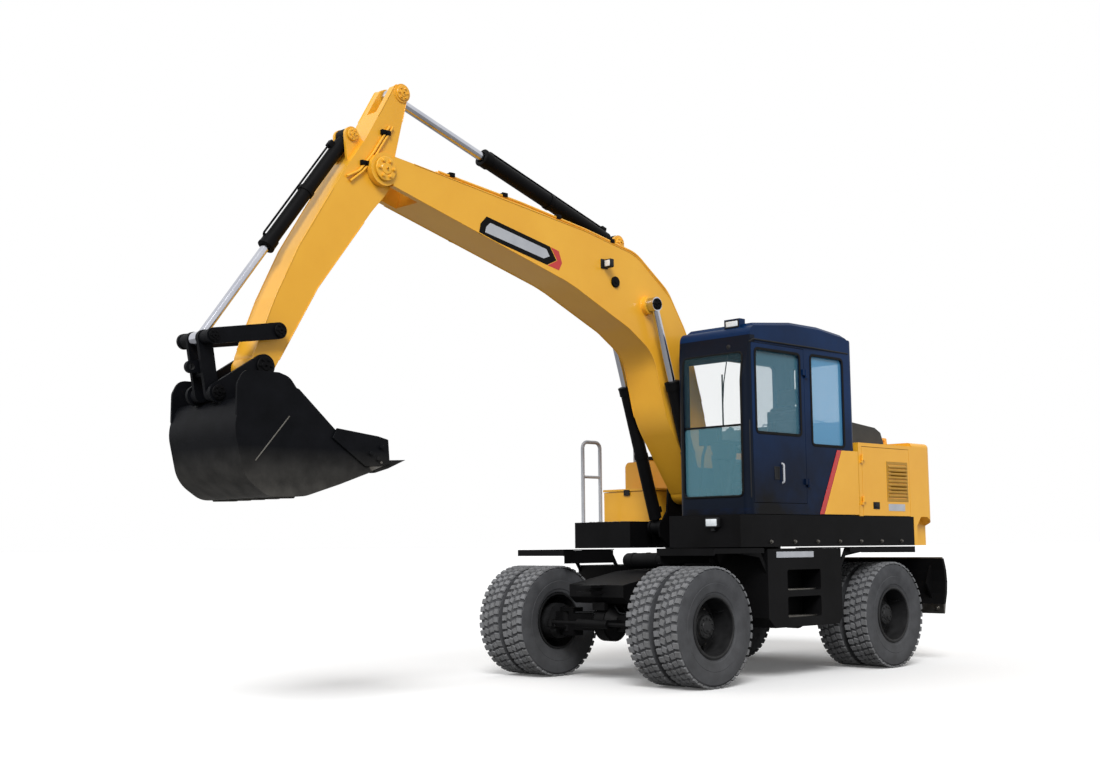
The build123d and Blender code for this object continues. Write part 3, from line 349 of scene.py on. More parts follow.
# Woven seat cloth, dark grey.
CLOTH = Finish(
    "woven_seat_cloth", "trim_black", "2C3036", "3A3F47", 0.9, grain=1.6, cloud=60, bump=0.35, sheen=0.4
)
# Clear lamp lens, ribbed.
LENS = Finish(
    "ribbed_lamp_lens", "rod_chrome", "E8EDF0", "D5DDE2", 0.08, grain=9.0, cloud=40, bump=0.3, coat=1.0
)
# Amber and red lamp lenses of moulded acrylic.
AMBER = Finish("amber_acrylic_lens", "trim_black", "E8820E", "D8700A", 0.12, cloud=40, bump=0.2, coat=1.0)
RED_LENS = Finish("red_acrylic_lens", "trim_black", "B0120F", "960E0C", 0.12, cloud=40, bump=0.2, coat=1.0)
# Laminated windscreen: nearly clear above; below its joint a denser teal tint, painted reflection of the
# surroundings.
SCREEN = Glass("laminated_clear_glass", "6F9FAC", 0.05)
LOWER_SCREEN_PAINTED_REFLECTION = Glass("laminated_tinted_glass", "5C93A3", 0.42)
# Toughened glass: blue-green in the door, pale blue in the quarter pane, clear on the far sides.
WINDOW = Glass("toughened_tinted_glass", "5E93A8", 0.34)
QUARTER = Glass("toughened_pale_glass", "62A8D4", 0.62)
FAR_GLASS = Glass("toughened_clear_glass", "B9D0D6", 0.03)

ENAMELS = (YELLOW, BLACK, CAB, CAB_FRONT_PAINTED_SHADE, RIM, RAIL, IRON, HOOD, DIGGER, RED, GRILLE_PAINTED_SHADE)
OTHERS = (RUBBER, UNSCUFFED_AND_SHADED_WALL, CHROME, STEEL, TRIM, SEAL, CLOTH, LENS, AMBER, RED_LENS)
PANES = (SCREEN, LOWER_SCREEN_PAINTED_REFLECTION, WINDOW, QUARTER, FAR_GLASS)
MATERIALS = {finish.name: finish.build() for finish in (*ENAMELS, *OTHERS, *PANES)}


@dataclass(frozen=True)
class NodeFinishes:
    """The finish of each CAD node that stays in view, with the nodes' names set apart by spaces."""

    by_finish: tuple[tuple[Finish | Glass, str], ...] = (
        (YELLOW, "boom arm counterweight engine_bay bay_door_left bay_door_right fuel_tank centre_cover"),
        (YELLOW, "toolbox toolbox_lid"),
        (BLACK, "chassis_frame turntable_lower turntable_upper front_axle rear_axle driveline fenders"),
        (BLACK, "step_boxes knuckle_left knuckle_right steering_rod dozer_blade upper_frame"),
        (BLACK, "boom_cylinder_barrels arm_cylinder_barrel bucket_cylinder_barrel blade_cylinder_barrels"),
        (HOOD, "hood"),
        (DIGGER, "bucket rocker bucket_link"),
        (CAB, "cab_floor cab_roof cab_rear cab_left cab_right cab_door"),
        # The cab's front frame: cab enamel darkened as painted shade.
        (CAB_FRONT_PAINTED_SHADE, "cab_front"),
        (RIM, "wheel_front_left wheel_front_right wheel_rear_left wheel_rear_right"),
        (RUBBER, "tyres_front_left tyres_front_right tyres_rear_left tyres_rear_right"),
        (CHROME, "boom_cylinder_rods arm_cylinder_rod bucket_cylinder_rod blade_cylinder_rods"),
        (RAIL, "handrail mirror_post"),
        (TRIM, "operator_seat steering_column"),
        (STEEL, "blade_edge"),
        (IRON, "engine"),
        (WINDOW, "cab_glass door_glass"),
    )

    def dress(self) -> None:
        """Gives every CAD node its finish."""
        for finish, nodes in self.by_finish:
            for node in nodes.split():
                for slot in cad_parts[node].material_slots:
                    slot.material = MATERIALS[finish.name]


# ----------------------------------------------------------------- modelling kit


def clear_selection() -> None:
    """Goes to object mode with nothing selected."""
    if bpy.context.object and bpy.context.object.mode != "OBJECT":
        bpy.ops.object.mode_set(mode="OBJECT")
    bpy.ops.object.select_all(action="DESELECT")


def select_only(item: bpy.types.Object) -> None:
    """Goes to object mode with one object selected and active.

    Args:
        item: The object.
    """
    clear_selection()
    item.select_set(True)
    bpy.context.view_layer.objects.active = item


@dataclass
class Draft:
    """A piece while it is modelled: begun from a primitive, shaped by edit operators, then placed."""

    object: bpy.types.Object

    @classmethod
    def begin(
        cls,
        start: Start,
        place: Sequence[float],
        size: Sequence[float] = (1.0, 1.0, 1.0),
        axis: Axis = Axis.Z,
        sides: int = 24,
    ) -> "Draft":
        """Adds the primitive.

        Args:
            start: Which primitive.
            place: Its centre, in metres.
            size: Lengths along X, Y and Z of a block, or radius and depth of a round.
            axis: Direction of a round primitive's length.
            sides: Sides of a round primitive.

        Returns:
            A draft in edit mode if it is a point, and otherwise in object mode.
        """
        clear_selection()
        if start is Start.BLOCK:
            bpy.ops.mesh.primitive_cube_add(size=1, location=place)
            bpy.context.object.scale = size
        elif start is Start.ROUND:
            turn = Vector((0, 0, 1)).rotation_difference(Vector(axis.value)).to_euler()
            radius, depth = size
            bpy.ops.mesh.primitive_cylinder_add(
                vertices=sides, radius=radius, depth=depth, location=place, rotation=turn
            )
        else:
            bpy.ops.mesh.primitive_plane_add(size=0.01, location=place)
        draft = cls(bpy.context.object)
        bpy.ops.object.transform_apply(location=True, rotation=True, scale=True)
        if start is Start.POINT:
            draft.everything()
            bpy.ops.mesh.merge(type="CENTER")
        return draft

    def edit(self, part: Part = Part.VERT) -> None:
        """Goes to edit mode with one kind of element.

        Args:
            part: Kind of element that can be picked.
        """
        if self.object.mode != "EDIT":
            bpy.context.view_layer.objects.active = self.object
            bpy.ops.object.mode_set(mode="EDIT")
        bpy.ops.mesh.select_mode(type=part.value)

    def everything(self) -> "Draft":
        """Picks the whole mesh."""
        self.edit()
        bpy.ops.mesh.select_all(action="SELECT")
        return self

    def pick(self, part: Part, test: Test) -> "Draft":
        """Picks the elements that pass a test.

        Args:
            part: Kind of element.
            test: Called with an element's centre and normal; an edge's normal is its direction.

        Returns:
            This draft.
        """
        self.edit(part)
        bpy.ops.mesh.select_all(action="DESELECT")
        mesh = bmesh.from_edit_mesh(self.object.data)
        if part is Part.FACE:
            for face in mesh.faces:
                face.select_set(test(face.calc_center_median(), face.normal))
        elif part is Part.EDGE:
            for edge in mesh.edges:
                start, end = (vert.co for vert in edge.verts)
                edge.select_set(test((start + end) / 2, (end - start).normalized()))
        else:
            for vert in mesh.verts:
                vert.select_set(test(vert.co, vert.normal))
        bmesh.update_edit_mesh(self.object.data)
        return self

    def draw(self, points: Iterable[Sequence[float]]) -> "Draft":
        """Draws on from the last point, one extruded vertex at a time.

        Args:
            points: The points to draw through.

        Returns:
            This draft.
        """
        self.edit()
        mesh = bmesh.from_edit_mesh(self.object.data)
        last = next(vert.co.copy() for vert in mesh.verts if vert.select)
        for point in points:
            step = Vector(point) - last
            bpy.ops.mesh.extrude_region_move(TRANSFORM_OT_translate={"value": step})
            last = Vector(point)
        return self

    def fill(self) -> "Draft":
        """Closes the drawn outline with a face."""
        self.everything()
        bpy.ops.mesh.edge_face_add()
        return self

    def push(self, step: Sequence[float]) -> "Draft":
        """Extrudes what is picked."""
        bpy.ops.mesh.extrude_region_move(TRANSFORM_OT_translate={"value": step})
        return self

    def move(self, step: Sequence[float]) -> "Draft":
        """Moves what is picked."""
        bpy.ops.transform.translate(value=step)
        return self

    def inset(self, width: float, depth: float = 0.0) -> "Draft":
        """Insets the picked faces."""
        bpy.ops.mesh.inset(thickness=width, depth=depth)
        return self

    def bevel(self, width: float, segments: int = 2) -> "Draft":
        """Rounds the picked edges."""
        bpy.ops.mesh.bevel(offset=width, segments=segments, affect="EDGES")
        return self

    def soften(self, width: float, segments: int = 2) -> "Draft":
        """Rounds every edge sharper than about 30 degrees.

        Args:
            width: Width of the rounding.
            segments: Steps across it.

        Returns:
            This draft.
        """
        self.edit(Part.EDGE)
        bpy.ops.mesh.select_all(action="DESELECT")
        bpy.ops.mesh.edges_select_sharp(sharpness=math.radians(30))
        return self.bevel(width, segments)

    def spin(self, centre: Sequence[float], axis: Axis, steps: int) -> "Draft":
        """Turns the drawn profile into a closed ring about an axis.

        Args:
            centre: Point on the axis.
            axis: The axis.
            steps: Steps of the full turn.

        Returns:
            This draft.
        """
        self.everything()
        bpy.ops.mesh.spin(steps=steps, angle=2 * math.pi, center=centre, axis=axis.value)
        self.everything()
        bpy.ops.mesh.remove_doubles(threshold=0.0002)
        return self.face_out()

    def repeat_round(self, centre: Sequence[float], axis: Axis, count: int) -> "Draft":
        """Copies the whole mesh round an axis.

        Args:
            centre: Point on the axis.
            axis: The axis.
            count: Number in all.

        Returns:
            This draft.
        """
        self.everything()
        turn = 2 * math.pi * (count - 1) / count
        bpy.ops.mesh.spin(steps=count - 1, angle=turn, center=centre, axis=axis.value, dupli=True)
        return self

    def repeat_along(self, step: Sequence[float], count: int) -> "Draft":
        """Copies the whole mesh along a line.

        Args:
            step: Step from one copy to the next.
            count: Number in all.

        Returns:
            This draft.
        """
        self.everything()
        for _ in range(count - 1):
            bpy.ops.mesh.duplicate_move(TRANSFORM_OT_translate={"value": step})
        return self

    def face_out(self) -> "Draft":
        """Turns every face outwards."""
        self.everything()
        bpy.ops.mesh.normals_make_consistent(inside=False)
        return self

    def turn(self, degrees: float, axis: str, centre: Sequence[float]) -> "Draft":
        """Turns what is picked about a point."""
        bpy.ops.transform.rotate(value=math.radians(degrees), orient_axis=axis, center_override=centre)
        return self

    def finish_with(self, name: str, kind: str, settings: dict) -> "Draft":
        """Adds a modifier and applies it.

        Args:
            name: The modifier's name.
            kind: Blender's modifier type.
            settings: Attribute names with their values.

        Returns:
            This draft.
        """
        select_only(self.object)
        modifier = self.object.modifiers.new(name, kind)
        for key, value in settings.items():
            setattr(modifier, key, value)
        bpy.ops.object.modifier_apply(modifier=modifier.name)
        return self

    def twin(self) -> "Draft":
        """Adds the mirrored half on the machine's right."""
        settings = {"use_axis": (False, True, False), "use_mirror_merge": False}
        return self.finish_with("both_sides", "MIRROR", settings).face_out()

    def smooth_rounds(self, levels: int) -> "Draft":
        """Subdivides the mesh as a smooth surface."""
        return self.finish_with("rounds", "SUBSURF", {"levels": levels, "render_levels": levels})

    def join(self, others: Iterable["Draft"]) -> "Draft":
        """Joins other drafts into this one.

        Args:
            others: The other drafts.

        Returns:
            This draft.
        """
        select_only(self.object)
        for other in others:
            other.object.select_set(True)
        bpy.ops.object.join()
        return self

    def place(self, name: str, body: str, finish: Finish | Glass, angle: float = 32.0) -> bpy.types.Object:
        """Names, dresses and seats the finished piece on a body.

        Args:
            name: The piece's name.
            body: Body that it moves with.
            finish: Its finish.
            angle: Edges flatter than this, in degrees, are shaded smooth.

        Returns:
            The Blender object.
        """
        select_only(self.object)
        bpy.ops.object.shade_smooth_by_angle(angle=math.radians(angle))
        self.object.name = name
        self.object.data.name = name
        self.object.data.materials.clear()
        self.object.data.materials.append(MATERIALS[finish.name])
        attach(self.object, body)
        LOG.info("%s on %s, %d faces", name, body, len(self.object.data.polygons))
        return self.object


@dataclass(frozen=True)
class Datum:
    """The swing centre, about which the machine's places are given, in metres."""

    x: float

    @classmethod
    def from_frame(cls) -> "Datum":
        """Finds the swing centre from the turntable."""
        low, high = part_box("turntable_upper")
        return cls((low[0] + high[0]) / 2)

    def at(self, x: float, y: float, z: float) -> Vector:
        """Turns swing-centre coordinates to the frame's."""
        return Vector((x + self.x, y, z))


DATUM = Datum.from_frame()
at = DATUM.at
AXLE_HEIGHT = 0.52


def on_side(y: float, corners: Iterable[Corner]) -> list[Vector]:
    """Places side-view corners, given from the swing centre, at one Y."""
    return [at(x, y, z) for x, z in corners]


def across(x: float, corners: Iterable[Corner]) -> list[Vector]:
    """Places front-view corners, given as Y and height, at one X of the frame."""
    return [Vector((x, y, z)) for y, z in corners]


def square(low: Corner, high: Corner) -> list[Corner]:
    """Lists the corners of a rectangle between two opposite ones."""
    return [low, (high[0], low[1]), high, (low[0], high[1])]


def joined(drafts: Sequence[Draft]) -> Draft:
    """Joins drafts into the first of them."""
    return drafts[0].join(drafts[1:])


def wheels() -> Iterator[tuple[str, Side, Vector]]:
    """Lists the twin wheels.

    Returns:
        An iterator over the end of their names, their side and their axle's centre.
    """
    for end in ("front", "rear"):
        for side in Side:
            tag = f"{end}_{side.tag}"
            low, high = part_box(f"tyres_{tag}")
            yield tag, side, Vector(((low[0] + high[0]) / 2, 0, AXLE_HEIGHT))


def rounded_path(
    corners: Sequence[Sequence[float]], radius: float, steps: int = 4, closed: bool = False
) -> list[Vector]:
    """Replaces the corners of a path with arcs.

    Args:
        corners: The path's corners.
        radius: Radius of the arcs.
        steps: Points on each arc, less one.
        closed: Whether the last corner joins the first.

    Returns:
        The points of the rounded path.
    """
    path: list[Vector] = []
    corners = [Vector(corner) for corner in corners]
    count = len(corners)
    for index, corner in enumerate(corners):
        if not closed and index in (0, count - 1):
            path.append(corner)
            continue
        back = corners[index - 1] - corner
        ahead = corners[(index + 1) % count] - corner
        half = back.angle(ahead) / 2
        reach = min(radius / math.tan(half), back.length * 0.45, ahead.length * 0.45)
        start, end = corner + back.normalized() * reach, corner + ahead.normalized() * reach
        for step in range(steps + 1):
            share = step / steps
            path.append(start.lerp(corner, share).lerp(corner.lerp(end, share), share))
    return path


def pipe(
    corners: Sequence[Sequence[float]],
    radius: float,
    bend: float = 0.06,
    sides: int = 3,
    closed: bool = False,
) -> Draft:
    """Models a bent round bar or pipe.

    Args:
        corners: Corners of its centre line.
        radius: Radius of its section.
        bend: Radius of its bends.
        sides: Blender's bevel resolution of the section.
        closed: Whether it closes on itself.

    Returns:
        A draft with the pipe's mesh.
    """
    path = rounded_path(corners, bend, closed=closed) if bend else list(corners)
    draft = Draft.begin(Start.POINT, path[0]).draw(path[1:] + (path[:1] if closed else []))
    if closed:
        draft.everything()
        bpy.ops.mesh.remove_doubles(threshold=0.00005)
    return as_pipe(draft, radius, sides)


def as_pipe(draft: Draft, radius: float, sides: int = 3) -> Draft:
    """Gives a chain of edges a round section.

    Args:
        draft: Draft with the edges.
        radius: Radius of the section.
        sides: Blender's bevel resolution of the section.

    Returns:
        The same draft with the new mesh.
    """
    select_only(draft.object)
    bpy.ops.object.convert(target="CURVE")
    curve = bpy.context.object
    curve.data.bevel_depth = radius
    curve.data.bevel_resolution = sides
    curve.data.use_fill_caps = True
    bpy.ops.object.convert(target="MESH")
    draft.object = bpy.context.object
    return draft.face_out()


def plate(outline: Sequence[Sequence[float]], thickness: Sequence[float], edge: float = 0.001) -> Draft:
    """Models a flat plate with softened edges.

    Args:
        outline: Corners of one face.
        thickness: Step from that face to the other.
        edge: Width of the softened edge.

    Returns:
        A draft with the plate.
    """
    draft = Draft.begin(Start.POINT, outline[0]).draw(outline[1:]).fill()
    return draft.everything().push(thickness).face_out().soften(edge, 1)


def housing(low: Sequence[float], high: Sequence[float], radius: float, segments: int = 3) -> Draft:
    """Models a block with rounded edges between two corners.

    Args:
        low: One corner.
        high: The opposite corner.
        radius: Radius of its edges.
        segments: Steps round each edge.

    Returns:
        A draft with the block.
    """
    centre = [(a + b) / 2 for a, b in zip(low, high)]
    size = [abs(b - a) for a, b in zip(low, high)]
    return Draft.begin(Start.BLOCK, centre, size).soften(radius, segments)


def lathe(
    profile: Sequence[tuple[float, float]], centre: Vector, axis: Axis, steps: int, closed: bool = False
) -> Draft:
    """Turns a profile about an axis.

    Args:
        profile: Places along the axis and radii.
        centre: Point on the axis.
        axis: The axis.
        steps: Steps of the turn.
        closed: Whether the profile closes on itself, as on a ring.

    Returns:
        A draft with the turned form.
    """
    length = Vector(axis.value)
    outward = Vector(Axis.X.value if axis is Axis.Z else Axis.Z.value)
    points = [centre + length * along + outward * radius for along, radius in profile]
    draft = Draft.begin(Start.POINT, points[0]).draw(points[1:] + (points[:1] if closed else []))
    return draft.spin(centre, axis, steps)


def hex_bolt(place: Vector, axis: Axis, size: float, out: int = 1) -> Draft:
    """Models a hexagon bolt head on a washer.

    Args:
        place: Where the bolt's axis meets the surface.
        axis: Direction of the bolt.
        size: Width of the head, in metres.
        out: Sign of the direction that the head faces.

    Returns:
        A draft with the head and washer.
    """
    way = Vector(axis.value) * out
    washer = Draft.begin(Start.ROUND, place + way * size * 0.08, (size * 0.75, size * 0.16), axis, 16)
    head = Draft.begin(Start.ROUND, place + way * size * 0.4, (size * 0.56, size * 0.5), axis, 6)
    head.pick(Part.FACE, lambda centre, normal: normal.dot(way) > 0.9)
    head.inset(size * 0.08).move(way * size * 0.06)
    return washer.soften(size * 0.03, 1).join([head])


def from_node(node: str) -> Draft:
    """Starts a draft from a merged copy of a CAD node's mesh.

    Args:
        node: The node's name.

    Returns:
        A draft with the copy.
    """
    select_only(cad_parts[node])
    bpy.ops.object.duplicate()
    draft = Draft(bpy.context.object)
    draft.object.parent = None
    draft.object.matrix_world = Matrix.Identity(4)
    draft.everything()
    bpy.ops.mesh.remove_doubles(threshold=0.0001)
    return draft


def weld_beads(member: str, half: float, radius: float, pins: Sequence[tuple[Vector, float]]) -> None:
    """Lays a weld bead round the two side faces of a box-section member.

    Args:
        member: CAD node that is welded, which is also its body's name.
        half: Half the width between the side faces.
        radius: Radius of the bead.
        pins: Hinge pins and the clear distance round each, where the beads are ground off.
    """
    beads = from_node(member)
    beads.pick(Part.FACE, lambda centre, normal: abs(normal.y) > 0.99 and abs(abs(centre.y) - half) < 0.002)
    bpy.ops.mesh.region_to_loop()
    bpy.ops.mesh.select_all(action="INVERT")
    bpy.ops.mesh.delete(type="EDGE")
    beads.everything()
    bpy.ops.mesh.dissolve_limited(angle_limit=math.radians(2))
    for pin, clear in pins:
        for side in (1, -1):
            for way in (Axis.X.value, Axis.Z.value):
                beads.everything()
                bpy.ops.mesh.bisect(plane_co=pin + Vector(way) * clear * side, plane_no=way)
        for part, slack in ((Part.VERT, 0.001), (Part.EDGE, 0.002)):
            beads.pick(
                part,
                lambda centre, normal, pin=pin, reach=clear - slack: abs(centre.x - pin.x) < reach
                and abs(centre.z - pin.z) < reach,
            )
            bpy.ops.mesh.delete(type=part.value)
    as_pipe(beads, radius, 2).place(f"{member}_weld_beads", member, YELLOW, 60)


@dataclass
class TwinTyres:
    """Twin road tyres: a moulded carcass with ribbed walls and four rows of tread blocks."""

    radius: float = 0.52
    half_width: float = 0.134
    rim_radius: float = 0.262
    groove: float = 0.014
    blocks: int = 42
    spacing: float = 0.32
    outer_y: float = 1.108
    # Each row of blocks: its middle and its width over the half width, its slant and its turn in degrees.
    rows: tuple[tuple[float, float, float, float], ...] = (
        (-0.73, 0.42, -4, 0.0),
        (-0.25, 0.38, 18, 2.1),
        (0.25, 0.38, -18, 4.3),
        (0.73, 0.42, 4, 6.4),
    )

    def profile(self) -> list[tuple[float, float]]:
        """Gives the carcass section.

        Returns:
            Places across the tyre and radii, round the whole section.
        """
        wide, rim = self.half_width, self.rim_radius
        tread = self.radius - self.groove
        half = [
            (0.7 * wide, rim + 0.001),
            (0.79 * wide, rim + 0.012),
            (0.84 * wide, rim + 0.034),
            (0.885 * wide, rim + 0.04),
            (0.93 * wide, rim + 0.07),
            (0.985 * wide, rim + 0.112),
            (0.965 * wide, rim + 0.116),
            (0.99 * wide, rim + 0.132),
            (0.98 * wide, rim + 0.172),
            (0.955 * wide, rim + 0.196),
            (0.92 * wide, tread - 0.02),
            (0.82 * wide, tread - 0.004),
            (0.4 * wide, tread),
        ]
        return half + [(-place, radius) for place, radius in reversed(half)]

    def row(self, x: float, y: float, width: float, slant: float, shift: float) -> Draft:
        """Models one row of tread blocks from one tapered block.

        Args:
            x: Axle place.
            y: Middle of the row.
            width: Width of a block.
            slant: Turn of a block, in degrees.
            shift: Turn of the row about the axle, in degrees.

        Returns:
            A draft with the row.
        """
        pitch = 2 * math.pi * self.radius / self.blocks
        low = self.radius - self.groove - 0.004
        height = self.radius - 0.0015 - low
        centre = Vector((x, y, AXLE_HEIGHT + low + height / 2))
        row = Draft.begin(Start.BLOCK, centre, (pitch * 0.68, width, height))
        row.pick(Part.FACE, lambda middle, normal: normal.z > 0.9)
        top = (x, y, AXLE_HEIGHT + self.radius - 0.004)
        bpy.ops.transform.resize(value=(0.86, 0.9, 1.0), center_override=top)
        row.everything().turn(slant, "Z", centre)
        axle = Vector((x, y, AXLE_HEIGHT))
        row.everything().turn(shift, "Y", axle)
        return row.repeat_round(axle, Axis.Y, self.blocks)

    def carcass(self, x: float, y: float) -> Draft:
        """Models one tyre's carcass."""
        return lathe(self.profile(), Vector((x, y, AXLE_HEIGHT)), Axis.Y, 96, closed=True)

    def tread(self, x: float, y: float) -> Draft:
        """Models one tyre's rows of blocks."""
        wide = self.half_width
        return joined([self.row(x, y + mid * wide, width * wide, *turns) for mid, width, *turns in self.rows])

    def build(self) -> None:
        """Builds a pair for every wheel."""
        for tag, side, axle in wheels():
            outer = side.value * self.outer_y
            inner = side.value * (self.outer_y - self.spacing)
            pair = self.carcass(axle.x, outer).join([self.carcass(axle.x, inner)])
            # The carcass's darker rubber is partly unscuffed rubber and partly painted shade.
            piece = pair.place(f"tyre_pair_{tag}", f"{tag}_wheel", UNSCUFFED_AND_SHADED_WALL, 28)
            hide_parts(f"tyres_{tag}")
            blocks = self.tread(axle.x, outer).join([self.tread(axle.x, inner)])
            blocks.place(f"tyre_tread_{tag}", f"{tag}_wheel", RUBBER, 28)


@dataclass
class WheelFittings:
    """Wheel nuts, cover bolts, lock ring and valve of each twin wheel."""

    nut_circle: float = 0.18
    nut_width: float = 0.026
    web_y: float = 1.015
    cover_y: float = 1.128
    rim_edge_y: float = 1.218

    def nuts(self, axle: Vector, side: Side) -> Draft:
        """Models the ring of wheel nuts in eight pairs.

        Args:
            axle: The axle's centre.
            side: Side of the machine.

        Returns:
            A draft with the nuts.
        """
        pair = []
        for offset in (-9, 9):
            turn = math.radians(offset)
            place = axle + Vector((math.sin(turn), 0, math.cos(turn))) * self.nut_circle
            place.y = side.value * self.web_y
            pair.append(hex_bolt(place, Axis.Y, self.nut_width, side.value))
        return joined(pair).repeat_round(axle, Axis.Y, 8)

    def cover(self, axle: Vector, side: Side) -> Draft:
        """Models the planet cover: a dished cap with bolts round a drain plug.

        Args:
            axle: The axle's centre.
            side: Side of the machine.

        Returns:
            A draft with the cover.
        """
        way = side.value
        centre = Vector((axle.x, way * self.cover_y, axle.z))
        profile = [(0.0, 0.098), (0.008, 0.096), (0.012, 0.088), (0.012, 0.06), (0.02, 0.054), (0.024, 0.0)]
        cap = lathe([(along * way, radius) for along, radius in profile], centre, Axis.Y, 40)
        bolt = hex_bolt(centre + Vector((0, way * 0.011, 0.075)), Axis.Y, 0.015, way)
        bolt.repeat_round(centre, Axis.Y, 10)
        plug = hex_bolt(centre + Vector((0, way * 0.02, -0.03)), Axis.Y, 0.022, way)
        return cap.join([bolt, plug])

    def lock_ring(self, axle: Vector, side: Side) -> Draft:
        """Models the split lock ring on the rim's outer edge.

        Args:
            axle: The axle's centre.
            side: Side of the machine.

        Returns:
            A draft with the ring.
        """
        way = side.value
        centre = Vector((axle.x, way * self.rim_edge_y, axle.z))
        profile = [(-0.006, 0.25), (0.004, 0.249), (0.009, 0.256), (0.009, 0.266), (0.004, 0.275)]
        profile += [(-0.004, 0.274), (-0.006, 0.262)]
        return lathe([(along * way, radius) for along, radius in profile], centre, Axis.Y, 72, closed=True)

    def valve(self, axle: Vector, side: Side) -> Draft:
        """Models the bent valve stem inside the dish.

        Args:
            axle: The axle's centre.
            side: Side of the machine.

        Returns:
            A draft with the stem.
        """
        way = side.value
        root = Vector((axle.x - 0.2, way * (self.web_y + 0.01), axle.z + 0.12))
        path = [root, root + Vector((0, way * 0.09, 0)), root + Vector((-0.012, way * 0.13, 0.01))]
        return pipe(path, 0.005, 0.02, 2)

    def build(self) -> None:
        """Builds the fittings of the four wheels."""
        for tag, side, axle in wheels():
            body = f"{tag}_wheel"
            self.nuts(axle, side).place(f"wheel_nuts_{tag}", body, STEEL)
            self.cover(axle, side).place(f"planet_cover_{tag}", body, RIM)
            self.lock_ring(axle, side).place(f"lock_ring_{tag}", body, RIM)
            self.valve(axle, side).place(f"tyre_valve_{tag}", body, TRIM)


